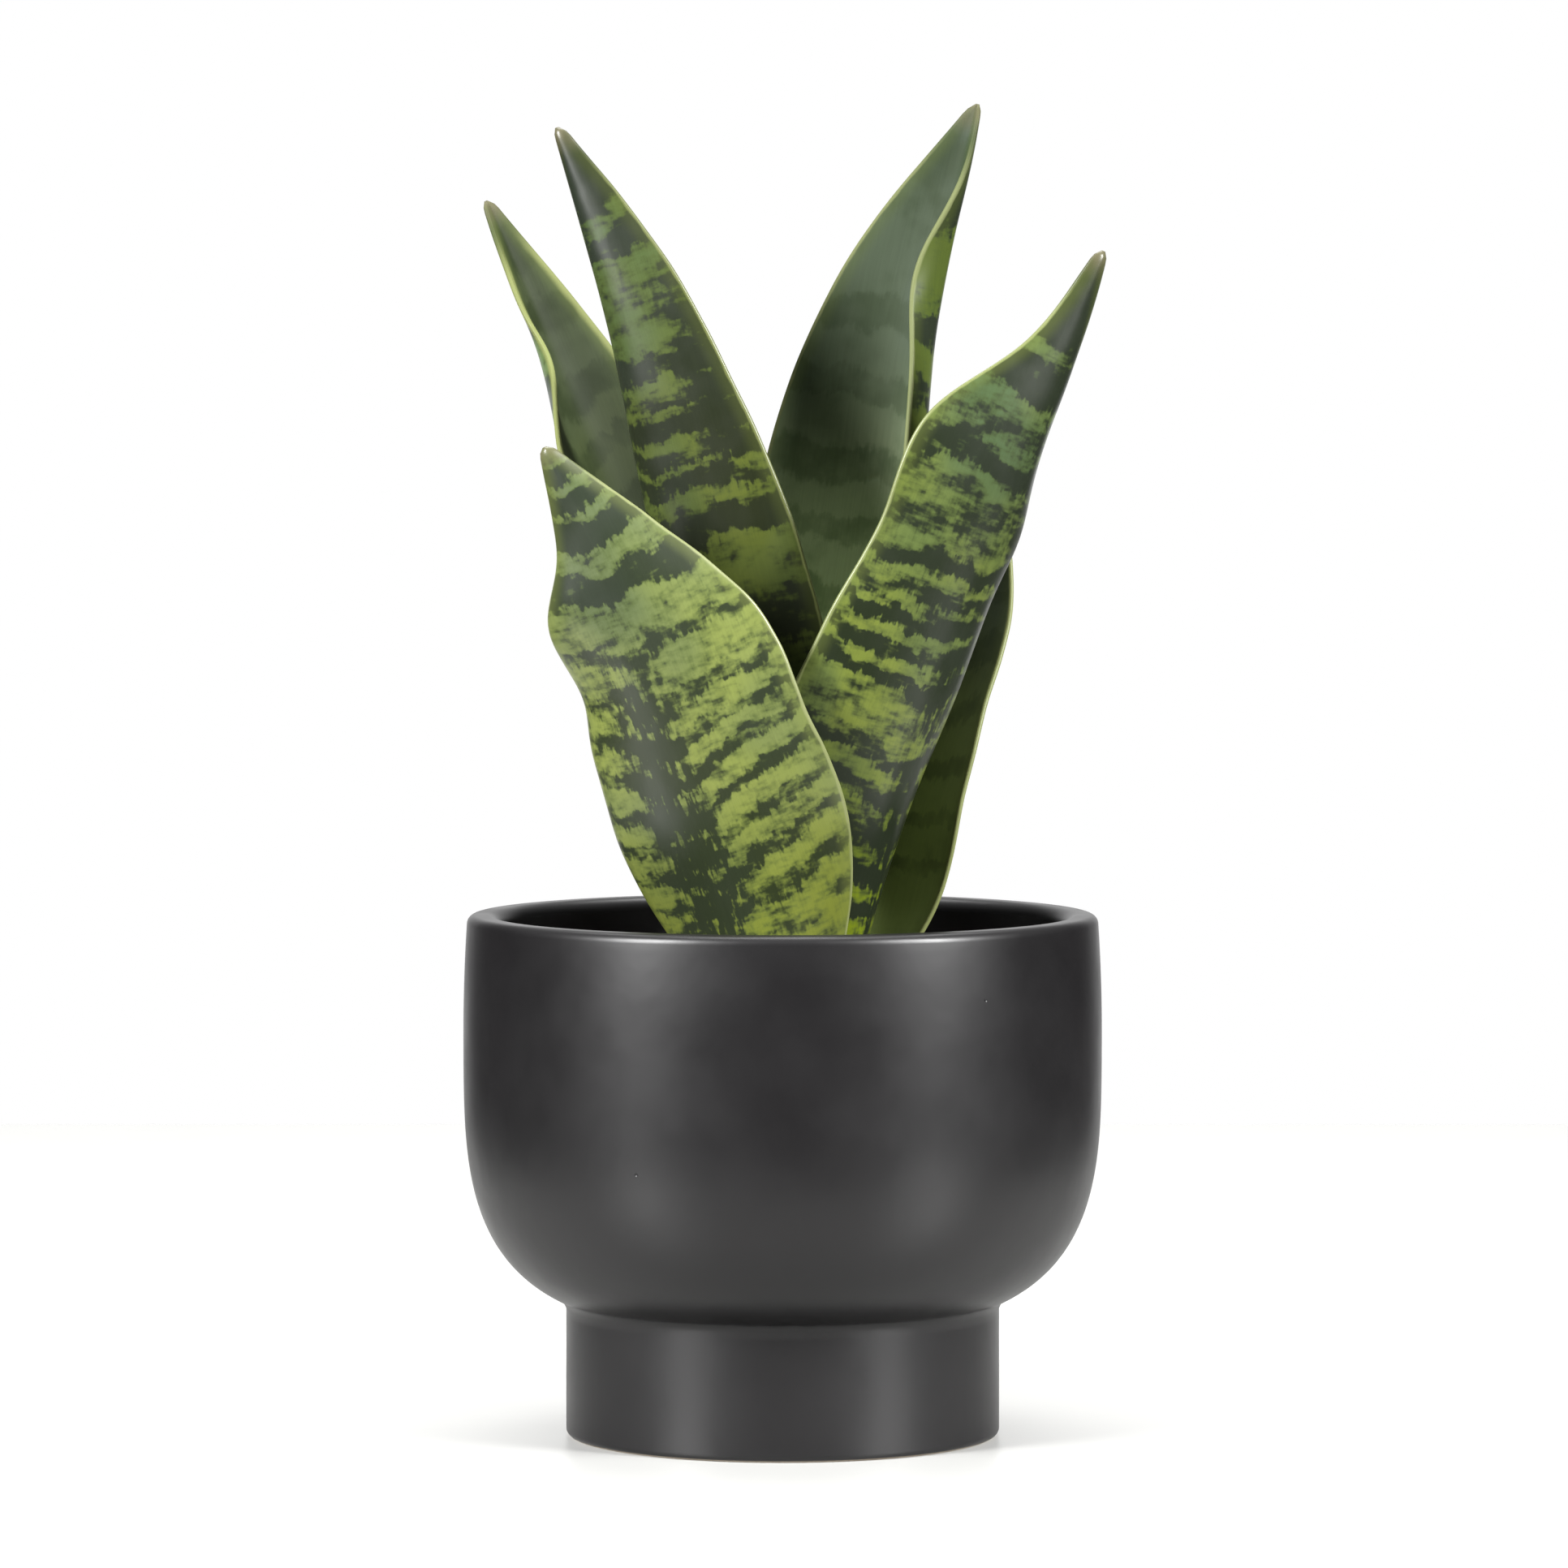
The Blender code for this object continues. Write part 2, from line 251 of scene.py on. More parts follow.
def turningTree():
    # turns a chain of profile points round Z, as a potter's wheel does, with a slight unevenness
    tree, given, result = newGeometryTree("turned on the wheel", {
        "Turn Steps": "NodeSocketInt", "Unevenness": "NodeSocketFloat", "Material": "NodeSocketMaterial"})
    points = addNode(tree, "GeometryNodeAttributeDomainSize", {"Geometry": given["Geometry"]})
    around = addNode(tree, "ShaderNodeMath", {"operation": "ADD", 0: given["Turn Steps"], 1: 1.0})
    sheet = addNode(tree, "GeometryNodeMeshGrid", {
        "Vertices X": points.outputs["Point Count"], "Vertices Y": around})
    index = addNode(tree, "GeometryNodeInputIndex", {})
    rowShare = addNode(tree, "ShaderNodeMath", {"operation": "DIVIDE", 0: index, 1: around})
    row = addNode(tree, "ShaderNodeMath", {"operation": "FLOOR", 0: rowShare})
    column = addNode(tree, "ShaderNodeMath", {"operation": "MODULO", 0: index, 1: around})
    turn = addNode(tree, "ShaderNodeMath", {"operation": "DIVIDE", 0: column, 1: given["Turn Steps"]})
    angle = addNode(tree, "ShaderNodeMath", {"operation": "MULTIPLY", 0: turn, 1: math.tau})
    position = addNode(tree, "GeometryNodeInputPosition", {})
    profile = addNode(tree, "GeometryNodeSampleIndex", {
        "data_type": "FLOAT_VECTOR", "Geometry": given["Geometry"],
        "Value": position, "Index": row})
    spot = addNode(tree, "ShaderNodeVectorRotate", {
        "rotation_type": "Z_AXIS", "Vector": profile, "Angle": angle})
    swell = addNode(tree, "ShaderNodeTexNoise", {
        "Vector": spot, "Scale": 28.0, "Detail": 1.0})     # about 36 mm across
    change = addNode(tree, "ShaderNodeMath", {"operation": "SUBTRACT", 0: swell, 1: 0.5})
    amount = addNode(tree, "ShaderNodeMath", {
        "operation": "MULTIPLY", 0: change, 1: given["Unevenness"]})
    outwards = addNode(tree, "ShaderNodeVectorMath", {
        "operation": "MULTIPLY", 0: spot, 1: (16.0, 16.0, 0.0)})     # about 1 at the wall
    moved = addNode(tree, "ShaderNodeVectorMath", {"operation": "SCALE", 0: outwards, "Scale": amount})
    final = addNode(tree, "ShaderNodeVectorMath", {"operation": "ADD", 0: spot, 1: moved})
    placed = addNode(tree, "GeometryNodeSetPosition", {
        "Geometry": sheet.outputs["Mesh"], "Position": final})
    merged = addNode(tree, "GeometryNodeMergeByDistance", {"Geometry": placed, "Distance": 0.002 * mm})
    smooth = addNode(tree, "GeometryNodeSetShadeSmooth", {"Geometry": merged})
    real = addNode(tree, "GeometryNodeRealizeInstances", {"Geometry": smooth})
    painted = addNode(tree, "GeometryNodeSetMaterial", {"Geometry": real, "Material": given["Material"]})
    setNode(tree, result, {"Geometry": painted})
    return tree


def applyTree(source, tree, values, name):
    # sets the modifier's inputs, takes the result as a plain mesh and drops the source
    modifier = source.modifiers.new(tree.name, "NODES")
    modifier.node_group = tree
    for socket in tree.interface.items_tree:
        if socket.item_type == "SOCKET" and socket.in_out == "INPUT" and socket.name in values:
            modifier[socket.identifier] = values[socket.name]
    evaluated = source.evaluated_get(bpy.context.evaluated_depsgraph_get())
    mesh = bpy.data.meshes.new_from_object(evaluated)
    mesh.name = name
    bpy.data.objects.remove(source)
    piece = bpy.data.objects.new(name, mesh)
    scene.collection.objects.link(piece)
    return piece


def glazeMaterial():
    # satin black glaze on stoneware: soft broad reflections, a faint orange peel and a few pinholes;
    # the standing ring is wiped bare before firing
    material, tree, shader = newMaterial("satin black glaze")
    place = addNode(tree, "ShaderNodeTexCoord", {}).outputs["Object"]
    cloud = addNode(tree, "ShaderNodeTexNoise", {"Vector": place, "Scale": 60.0, "Detail": 3.0})
    smoothest, roughest = pot["glazeRoughness"]
    rough = addNode(tree, "ShaderNodeMapRange", {
        "Value": cloud, "From Min": 0.3, "From Max": 0.7, "To Min": smoothest, "To Max": roughest})
    peel = addNode(tree, "ShaderNodeTexNoise", {
        "Vector": place, "Scale": 900.0, "Detail": 2.0})     # about 1 mm
    swell = addNode(tree, "ShaderNodeTexNoise", {
        "Vector": place, "Scale": 90.0, "Detail": 2.0})      # about 11 mm
    pits = addNode(tree, "ShaderNodeTexVoronoi", {
        "feature": "F1", "Vector": place, "Scale": 130.0, "Randomness": 1.0})
    rare = addNode(tree, "ShaderNodeMath", {
        "operation": "GREATER_THAN", 0: pits.outputs["Color"], 1: 0.80})     # one cell in five
    hole = addNode(tree, "ShaderNodeMapRange", {
        "interpolation_type": "SMOOTHSTEP", "Value": pits.outputs["Distance"],
        "From Min": 0.02, "From Max": 0.055, "To Min": 1.0, "To Max": 0.0})     # 0.3 mm across
    pinhole = addNode(tree, "ShaderNodeMath", {"operation": "MULTIPLY", 0: hole, 1: rare})
    peelBump = addNode(tree, "ShaderNodeBump", {"Strength": 0.25, "Distance": 0.02 * mm, "Height": peel})
    swellBump = addNode(tree, "ShaderNodeBump", {
        "Strength": 0.5, "Distance": 0.12 * mm, "Height": swell,
        "Normal": peelBump})
    pitBump = addNode(tree, "ShaderNodeBump", {
        "invert": True, "Strength": 1.0, "Distance": 0.12 * mm, "Height": pinhole,
        "Normal": swellBump})
    height = addNode(tree, "ShaderNodeSeparateXYZ", {"Vector": place})
    bare = addNode(tree, "ShaderNodeMapRange", {
        "Value": height.outputs["Z"], "From Min": 0.10 * mm, "From Max": 0.45 * mm,
        "To Min": 1.0, "To Max": 0.0})
    tone = addNode(tree, "ShaderNodeMix", {
        "data_type": "RGBA", 0: cloud,
        6: hexColour(pot["glazeDark"]), 7: hexColour(pot["glazeColour"])})
    colour = addNode(tree, "ShaderNodeMix", {
        "data_type": "RGBA", 0: bare, 6: tone.outputs[2], 7: hexColour(pot["bisqueColour"])})
    finish = addNode(tree, "ShaderNodeMix", {
        "data_type": "FLOAT", 0: bare, 2: rough, 3: pot["bisqueRoughness"]})
    setNode(tree, shader, {
        "Base Color": colour.outputs[2], "Roughness": finish, "Normal": pitBump, "IOR": pot["glazeIOR"]})
    return material


def makePot():
    profile = potProfile()
    mesh = bpy.data.meshes.new("pot profile")
    mesh.from_pydata([(r, 0, z) for r, z in profile], [(i, i + 1) for i in range(len(profile) - 1)], [])
    chain = newPiece("pot profile", mesh)
    values = {"Turn Steps": pot["turnSteps"], "Unevenness": pot["unevenness"], "Material": glazeMaterial()}
    piece = applyTree(chain, turningTree(), values, "glazed_footed_pot")
    faceOutwards(piece.data)
    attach(piece, "root")
    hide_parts("footed_pot")


makePot()
print("pot turned and glazed")

# the leaves: stiff folded blades, the same six outlines as the CAD leaves

# Each leaf is given at even steps from base to tip: the keel's path (mm), the way its outer face
# looks (degrees), the flat width of each half (mm) and how far each half has turned in at its
# margin (degrees). A ripple is (place along the leaf, length, mm that the margin leans out).
# bands are the dark cross bands as (place, half length, darkness), all as shares of the leaf.
leaves = dict(
    leaf_front_left=dict(
        keel=[(0, -18, 80), (-9, -25, 115), (-22, -32, 150), (-35, -37, 184), (-51, -37, 217)],
        facing=[-100, -108, -112], crease=0.5,
        leftWidth=[10, 21, 27, 26, 24, 11, 1], rightWidth=[10, 21, 29, 29, 27, 14, 1],
        leftFold=[70, 60, 50, 50, 40], rightFold=[60, 35, 20, 30, 40],
        leftRipples=[(0.35, 0.10, 1), (0.61, 0.06, -2.5), (0.76, 0.07, 4)],
        leftCurl=[0, 24, 26, 6, 24, 0], leftLate=0.7,
        bands=[(0.955, 0.014, 0.8), (0.905, 0.018, 0.8), (0.85, 0.024, 0.9), (0.765, 0.024, 0.9),
               (0.66, 0.012, 0.55), (0.575, 0.012, 0.55), (0.52, 0.011, 0.55), (0.465, 0.011, 0.6),
               (0.41, 0.011, 0.6), (0.36, 0.01, 0.5), (0.31, 0.01, 0.6), (0.26, 0.01, 0.5),
               (0.21, 0.01, 0.4)],
        chevron=0.28, rib=(0.95, -5, 12), ribEnd=0.64, tipFrom=0.99, depth=0.2, specular=0.45,
        light="#5e6631", lightUpper="#434d32", lightBase="#545b1f", middle="#36401f",
        dark="#1f2514", darkUpper="#20261c", margin="#666b45"),
    leaf_tall_left=dict(
        keel=[(-3, -6, 82), (-12, -9, 135), (-22, -11, 190), (-34, -12, 240), (-49, -10, 286)],
        facing=[-120, -125, -130], crease=0.4,
        leftWidth=[7, 18, 28, 27, 20, 9, 1], rightWidth=[6, 13, 27, 27, 21, 13, 1],
        leftFold=[75, 80, 75, 70, 60], rightFold=[70, 40, 35, 35, 40],
        bands=[(0.95, 0.05, 0.85), (0.855, 0.016, 0.8), (0.77, 0.03, 0.2), (0.71, 0.014, 0.8),
               (0.675, 0.01, 0.6), (0.645, 0.012, 0.8), (0.612, 0.01, 0.7), (0.585, 0.01, 0.75),
               (0.54, 0.018, 0.9), (0.43, 0.025, 0.7), (0.36, 0.015, 0.8), (0.3, 0.012, 0.7),
               (0.24, 0.012, 0.7)],
        # shaded is a painted shade strip: mm across from and to, shares along from and to, and darkness
        shaded=(6, 15, 0.62, 0.92, 0.5),
        chevron=0.06, rib=(0.4, -3, 8), ribEnd=0.5, tipFrom=0.9, depth=0.18, specular=0.4,
        # the darker base colour of this leaf is painted shade
        light="#3a4117", lightUpper="#313e22", lightBase="#2f350e", middle="#293114",
        dark="#161a0c", darkUpper="#1b2018", margin="#4e5330"),
    leaf_back_left=dict(
        keel=[(-11, 9, 80), (-19, 16, 118), (-28, 23, 157), (-36, 28, 196), (-51, 29, 236),
              (-66, 27, 271)],
        facing=[140, 140, 140], crease=0.3,
        leftWidth=[7, 17, 28, 27, 21, 11, 1], rightWidth=[6, 17, 27, 31, 31, 10, 1],
        leftFold=[70, 40, 35, 35, 30], rightFold=[80, 60, 60, 45, 25],
        rightRipples=[(0.69, 0.05, 3), (0.80, 0.05, -2.5)],
        bands=[(0.93, 0.03, 0.8), (0.85, 0.02, 0.8), (0.76, 0.022, 0.9), (0.69, 0.015, 0.8),
               (0.62, 0.02, 0.9), (0.55, 0.015, 0.8), (0.48, 0.015, 0.8), (0.41, 0.012, 0.8),
               (0.34, 0.012, 0.7), (0.27, 0.012, 0.7)],
        chevron=0.15, rib=(0.4, 4, 8), ribEnd=0.5, tipFrom=0.92, depth=0.1, specular=0.08,
        light="#505a2d", lightUpper="#485837", lightBase="#4e5726", middle="#353f23",
        dark="#202819", darkUpper="#252d22", margin="#62673f", marginWidth=1.6,
        innerLight="#2e351e", innerLightCoolAndSheen="#2b3220", innerPaintedLightBase="#38422a", innerDark="#1d2413",
        innerDarkPaintedLightBase="#2f381b"),
    leaf_tall_right=dict(
        keel=[(4, 5, 82), (15, 11, 138), (24, 15, 190), (31, 17, 240), (43, 15, 292)],
        facing=[50, 50, 50], crease=0.4,
        leftWidth=[5, 14, 27, 27, 20, 11, 1], rightWidth=[7, 17, 31, 33, 30, 19, 1],
        leftFold=[80, 70, 70, 75, 45], rightFold=[70, 45, 35, 30, 30],
        leftRipples=[(0.82, 0.08, -5.5)],
        bands=[(0.92, 0.05, 0.9), (0.755, 0.02, 0.95), (0.68, 0.015, 0.8), (0.60, 0.02, 0.9),
               (0.53, 0.015, 0.8), (0.46, 0.015, 0.9), (0.40, 0.012, 0.8), (0.33, 0.012, 0.8),
               (0.27, 0.012, 0.7)],
        chevron=0.1, rib=(0.4, 0, 8), ribEnd=0.5, tipFrom=0.9, depth=0.05, specular=0.06,
        light="#424b20", lightUpper="#353f1a", lightBase="#48511f", middle="#2a341b",
        dark="#181e12", darkUpper="#1b2017", margin="#5a5f3f", innerLight="#3a432f",
        # the very light inner base colours here are painted light on the shaded lower inner face
        innerLightCoolAndSheen="#363f33", innerPaintedLightBase="#a3b18b", innerDark="#2b3424",
        innerDarkPaintedLightBase="#73835f"),
    leaf_front_right=dict(
        keel=[(10, -7, 80), (18, -15, 125), (33, -23, 170), (51, -28, 215), (69, -26, 259)],
        facing=[-55, -55, -55], crease=0.3,
        leftWidth=[5, 12, 26, 30, 28, 24.5, 24, 8, 1], rightWidth=[8, 18, 26, 27, 20, 11, 1],
        leftFold=[70, 40, 35, 35, 30], rightFold=[80, 75, 70, 70, 40],
        rightRipples=[(0.655, 0.06, 3)], rightCurl=[0, 0, 10, 22, 12, 0], rightLate=0.3, leftLate=0.4,
        bands=[(0.93, 0.06, 0.75), (0.835, 0.026, 0.75), (0.775, 0.02, 0.35), (0.725, 0.016, 0.75),
               (0.66, 0.03, 0.38), (0.6, 0.01, 0.7), (0.565, 0.01, 0.6), (0.535, 0.01, 0.8),
               (0.5, 0.01, 0.7), (0.465, 0.01, 0.75), (0.38, 0.012, 0.6), (0.335, 0.012, 0.7),
               (0.29, 0.012, 0.6), (0.245, 0.012, 0.7), (0.2, 0.01, 0.5)],
        # shaded is a painted shade strip: mm across from and to, shares along from and to, and darkness
        shaded=(6, 16, 0.5, 0.98, 0.5),
        chevron=0.14, rib=(0.8, 5, 8), ribEnd=0.55, tipFrom=0.88, depth=0.26, specular=0.35,
        light="#4e5723", lightUpper="#35432a", lightBase="#525e0e", middle="#2c351b",
        dark="#161c0f", darkUpper="#1b2017", margin="#60663f"),
    leaf_back_right=dict(
        keel=[(11, 17, 80), (19, 24, 115), (28, 30, 152), (38, 34, 190), (46, 32, 228)],
        facing=[80, 80, 80], crease=0.4,
        leftWidth=[8, 16, 23, 23, 20, 11, 1], rightWidth=[7, 17, 25, 25, 20, 10, 1],
        leftFold=[75, 50, 70, 35, 40], rightFold=[70, 45, 45, 40, 40],
        leftRipples=[(0.50, 0.10, 3)],
        bands=[(0.93, 0.03, 0.8), (0.85, 0.02, 0.9), (0.77, 0.02, 0.8), (0.70, 0.015, 0.8),
               (0.62, 0.02, 0.9), (0.54, 0.015, 0.8), (0.46, 0.015, 0.8), (0.38, 0.012, 0.8),
               (0.30, 0.012, 0.7)],
        chevron=0.15, rib=(0.45, 0, 8), ribEnd=0.5, tipFrom=0.94, depth=0.1, specular=0.3,
        light="#515b2d", lightUpper="#455833", lightBase="#4a5326", middle="#353f23",
        dark="#212918", darkUpper="#262d20", margin="#62673f", innerPaintedLightBase="#6a7644",
        innerDarkPaintedLightBase="#4a5530"),
)

blade = dict(
    keelThicknessBase=3.0, keelThicknessTip=1.5, marginThickness=1.1,   # mm, as the CAD leaves
    rows=150, halfColumns=22, rimSteps=5,
    wrinkle=0.35, wrinkleAcross=16, wrinkleAlong=22,    # mm, slow unevenness of the whole surface
    nibble=0.35, nibbleWidth=10,     # mm, unevenness of the margin, less where a half is narrower
    nibbles=14,              # patches of it along the leaf
    roundTip=0.012,          # share of the leaf over which its tip closes
    tipNarrowing=0.9, tipThickness=0.35,
    curlFrom=0.68,           # share of each half beyond which its margin curls
)

# grains are mm across the leaf, mm along it, detail and roughness, and for the wanders a strength
skin = dict(
    bandWander=[(16, 45, 1.0, 0.5, 12.0), (4, 5, 3.0, 0.6, 7.0), (1.1, 7, 2.0, 0.6, 3.5)],
    patches=[(11, 6, 3.0, 0.6, 1.8), (7, 1.8, 3.0, 0.55, 1.1), (2.6, 2.2, 2.0, 0.6, 1.1),
             (1.1, 7, 2.0, 0.6, 0.5)],
    ribWander=[(40, 18, 1.0, 0.5, 9.0)],
    ribStreaks=(1.6, 9, 3.0, 0.6),
    innerRags=[(8, 9, 3.0, 0.5, 2.2)],
    marginWander=[(3, 5, 1.0, 0.5, -0.6)],
    dryPatches=(3, 5, 2.0, 0.5),
    tint=(24, 30, 1.0, 0.5),
    fibre=(0.45, 16, 2.0, 0.5),
    gloss=(9, 12, 3.0, 0.5),
    swell=(5, 14, 2.0, 0.5),
    apart=40.0,              # mm between the leaves' grains, so that no two leaves match
    dryTip="#4b4736", innerRoughness=0.55, IOR=1.45,
    # the inner face's colours: its base colours are painted light, and its cool upper colour is partly
    # painted sheen
    colours=dict(innerLight="#3a412d", innerLightCoolAndSheen="#363f34", innerPaintedLightBase="#8c9a69",
                 innerDark="#2b3322", innerDarkPaintedLightBase="#5e6b44"),
)


def through(values, places):
    # a smooth curve through evenly spaced values
    points = np.asarray(values, float)
    points = np.concatenate([[2 * points[0] - points[1]], points, [2 * points[-1] - points[-2]]])
    spans = len(points) - 3
    x = np.asarray(places, float) * spans
    first = np.clip(np.floor(x).astype(int), 0, spans - 1)
    f = x - first
    if points.ndim == 2:
        f = f[:, None]
    a, b, c, d = (points[first + i] for i in range(4))
    return b + 0.5 * f * (c - a + f * (2 * a - 5 * b + 4 * c - d + f * (3 * b - a - 3 * c + d)))


def unit(vectors):
    return vectors / np.maximum(np.linalg.norm(vectors, axis=-1, keepdims=True), 1e-12)


def smoothNoise(points, seedNumber):
    # one value from -1 to 1 for each point, slow enough for a 1 unit pattern
    offset = Vector((seedNumber * 17.3, seedNumber * 5.1, 0))
    flat = points.reshape(-1, 3)
    values = [noise.noise(Vector(point) + offset) for point in flat]
    return np.array(values).reshape(points.shape[:-1])


def halfBlade(leaf, side, along, seedNumber):
    # one half's section in each row, as distances sideways and inwards from the keel
    columns = blade["halfColumns"]
    across = np.linspace(0, 1, columns + 1)
    width = through(leaf[side + "Width"], along)
    nibbled = np.stack([along * blade["nibbles"], along * 0 + seedNumber, along * 0], axis=-1)
    uneven = smoothNoise(nibbled, seedNumber + (side == "left"))
    width = width + blade["nibble"] * uneven * np.minimum(width / blade["nibbleWidth"], 1)
    closing = np.clip((1 - along) / blade["roundTip"], 0, 1)
    width = width * np.sqrt(1 - (1 - closing) ** 2 * blade["tipNarrowing"])
    fold = np.radians(through(leaf[side + "Fold"], along))
    turnedIn = (1 - np.exp(-across / leaf["crease"])) / (1 - np.exp(-1 / leaf["crease"]))
    curl = np.radians(through(leaf.get(side + "Curl", [0, 0]), along))
    edge = np.clip((across - blade["curlFrom"]) / (1 - blade["curlFrom"]), 0, 1)
    late = leaf.get(side + "Late", 0)
    heading = fold[:, None] * turnedIn
    reach = np.cos((heading[:, 1:] + heading[:, :-1]) / 2).mean(axis=1)
    heading = fold[:, None] * (turnedIn * (1 - late) + across ** 3 * late)
    heading = heading + curl[:, None] * edge * edge * (3 - 2 * edge)
    middle = (heading[:, 1:] + heading[:, :-1]) / 2
    width = width * reach / np.cos(middle).mean(axis=1)
    step = width[:, None] / columns
    start = np.zeros((len(along), 1))
    sideways = np.concatenate([start, np.cumsum(np.cos(middle) * step, axis=1)], axis=1)
    inwards = np.concatenate([start, np.cumsum(np.sin(middle) * step, axis=1)], axis=1)
    lean = sum((size * np.exp(-((along - place) / length) ** 2)
                for place, length, size in leaf.get(side + "Ripples", [])), np.zeros(len(along)))
    lean = lean[:, None] * across ** 2
    return sideways + np.sin(heading) * lean, inwards - np.cos(heading) * lean, width[:, None] * across


def bladeGrid(leaf, seedNumber):
    # the middle surface in mm, the place of each point across it, and its thickness
    along = np.linspace(0, 1, blade["rows"] + 1)
    keel = through(leaf["keel"], along)
    tangent = unit(through(leaf["keel"], along + 0.01) - through(leaf["keel"], along - 0.01))
    facing = np.radians(through(leaf["facing"], along))
    outwards = np.stack([np.cos(facing), np.sin(facing), 0 * facing], axis=1)
    outwards = unit(outwards - np.sum(outwards * tangent, axis=1)[:, None] * tangent)
    toRight = np.cross(tangent, outwards)
    halves = {}
    for side, sign in (("left", -1), ("right", 1)):
        sideways, inwards, distance = halfBlade(leaf, side, along, seedNumber)
        points = (keel[:, None] + sign * toRight[:, None] * sideways[..., None]
                  - outwards[:, None] * inwards[..., None])
        halves[side] = points, sign * distance, distance[:, -1:] - distance
    surface, across, rim = (np.concatenate([halves["left"][i][:, :0:-1], halves["right"][i]], axis=1)
                            for i in range(3))
    length = np.concatenate([[0], np.cumsum(np.linalg.norm(np.diff(keel, axis=0), axis=1))])
    reach = np.abs(across) / np.maximum(np.abs(across) + rim, 1e-6)
    atBase, atTip = blade["keelThicknessBase"], blade["keelThicknessTip"]
    keelThickness = atBase + (atTip - atBase) * along
    thickness = keelThickness[:, None] + (blade["marginThickness"] - keelThickness[:, None]) * reach ** 2
    closing = np.clip((1 - along) / blade["roundTip"], 0, 1)
    left = blade["tipThickness"]
    thickness = thickness * (left + (1 - left) * np.sqrt(1 - (1 - closing) ** 2))[:, None]
    return surface, across, rim, thickness, along, length


def sheetNormals(surface):
    up = np.gradient(surface, axis=0)
    right = np.gradient(surface, axis=1)
    return unit(np.cross(right, up))


def bladeMesh(name, leaf, seedNumber):
    surface, across, rim, thickness, along, length = bladeGrid(leaf, seedNumber)
    normal = sheetNormals(surface)
    slow = np.stack([across / blade["wrinkleAcross"], length[:, None] / blade["wrinkleAlong"] + 0 * across,
                     0 * across + seedNumber], axis=-1)
    surface = surface + normal * (blade["wrinkle"] * smoothNoise(slow, seedNumber))[..., None]
    normal = sheetNormals(surface)
    half = thickness[..., None] / 2
    outer = surface + normal * half
    inner = surface - normal * half
    sections = [outer]
    places = [(across, rim, np.ones_like(rim))]
    for edge, before in ((-1, -2), (0, 1)):
        reachOut = unit(surface[:, edge] - surface[:, before])
        lean = np.sum(reachOut * normal[:, edge], axis=1, keepdims=True)
        reachOut = unit(reachOut - lean * normal[:, edge])
        turns = np.linspace(0, np.pi, blade["rimSteps"] + 2)[1:-1]
        if edge == 0:
            turns = turns[::-1]
            sections.append(inner[:, ::-1])
            places.append((across[:, ::-1], rim[:, ::-1], np.zeros_like(rim)))
        ring = np.stack([
            surface[:, edge] + (np.cos(a) * normal[:, edge] + np.sin(a) * reachOut) * half[:, edge]
            for a in turns], axis=1)
        sections.append(ring)
        face = np.broadcast_to((1 + np.cos(turns)) / 2, ring.shape[:2])
        places.append((np.repeat(across[:, edge:][:, :1], ring.shape[1], axis=1), -0.2 + 0 * face, face))
    points = np.concatenate(sections, axis=1) * mm
    acrossAll, rimAll, faceAll = (
        np.concatenate([place[i] for place in places], axis=1) for i in range(3))
    mesh, flat, faces = meshFromGrid(name, points, closeAround=True)
    columns = points.shape[1]
    faces.append(tuple(range(columns - 1, -1, -1)))
    faces.append(tuple(range((len(along) - 1) * columns, len(along) * columns)))
    mesh.from_pydata(flat.tolist(), [], faces)
    alongAll = np.broadcast_to(length[:, None], acrossAll.shape)
    shareAll = np.broadcast_to(along[:, None], acrossAll.shape)
    place = np.stack([acrossAll, alongAll, np.full_like(acrossAll, seedNumber * skin["apart"])], axis=-1)
    share = np.stack([shareAll, faceAll, rimAll], axis=-1)
    for label, values in (("bladePlace", place), ("bladeShare", share)):
        attribute = mesh.attributes.new(label, "FLOAT_VECTOR", "POINT")
        attribute.data.foreach_set("vector", values.reshape(-1).astype(np.float32))
    mesh.shade_smooth()
    return mesh


def bandCurve(node, bands):
    # darkness along the leaf: 0 between the bands and a peak at each one
    curve = node.mapping.curves[0]
    stops = [(0.0, 0.0)]
    for place, half, darkness in sorted(bands):
        for x, y in ((place - half * 1.35, 0.12), (place - half * 0.6, darkness),
                     (place + half * 0.6, darkness), (place + half * 1.35, 0.12)):
            if x > stops[-1][0] + 0.002:
                stops.append((min(x, 0.998), y))
    stops.append((1.0, stops[-1][1]))
    for x, y in stops[1:-1]:
        curve.points.new(x, y)
    curve.points[0].location = stops[0]
    curve.points[-1].location = stops[-1]
    for point in curve.points:
        point.handle_type = "AUTO_CLAMPED"
    node.mapping.update()


def leafGrain(tree, place, acrossSize, alongSize, detail, roughness):
    # noise whose patches measure these mm across and along the leaf
    scaled = addNode(tree, "ShaderNodeVectorMath", {
        "operation": "MULTIPLY", 0: place, 1: (1 / acrossSize, 1 / alongSize, 1.0)})
    return addNode(tree, "ShaderNodeTexNoise", {
        "Vector": scaled, "Scale": 1.0, "Detail": detail, "Roughness": roughness})


def unsettle(tree, place, value, grains):
    # pushes a value up and down by several grains, each with its own strength
    for acrossSize, alongSize, detail, roughness, strength in grains:
        grain = leafGrain(tree, place, acrossSize, alongSize, detail, roughness)
        centred = addNode(tree, "ShaderNodeMath", {"operation": "SUBTRACT", 0: grain, 1: 0.5})
        value = addNode(tree, "ShaderNodeMath", {
            "operation": "MULTIPLY_ADD", 0: centred, 1: strength, 2: value})
    return value


def paintOver(tree, colour, coats):
    # lays coats over a colour, each with how much of it covers
    for cover, coat in coats:
        painted = addNode(tree, "ShaderNodeMix", {"data_type": "RGBA", 0: cover, 6: colour, 7: coat})
        colour = painted.outputs[2]
    return colour


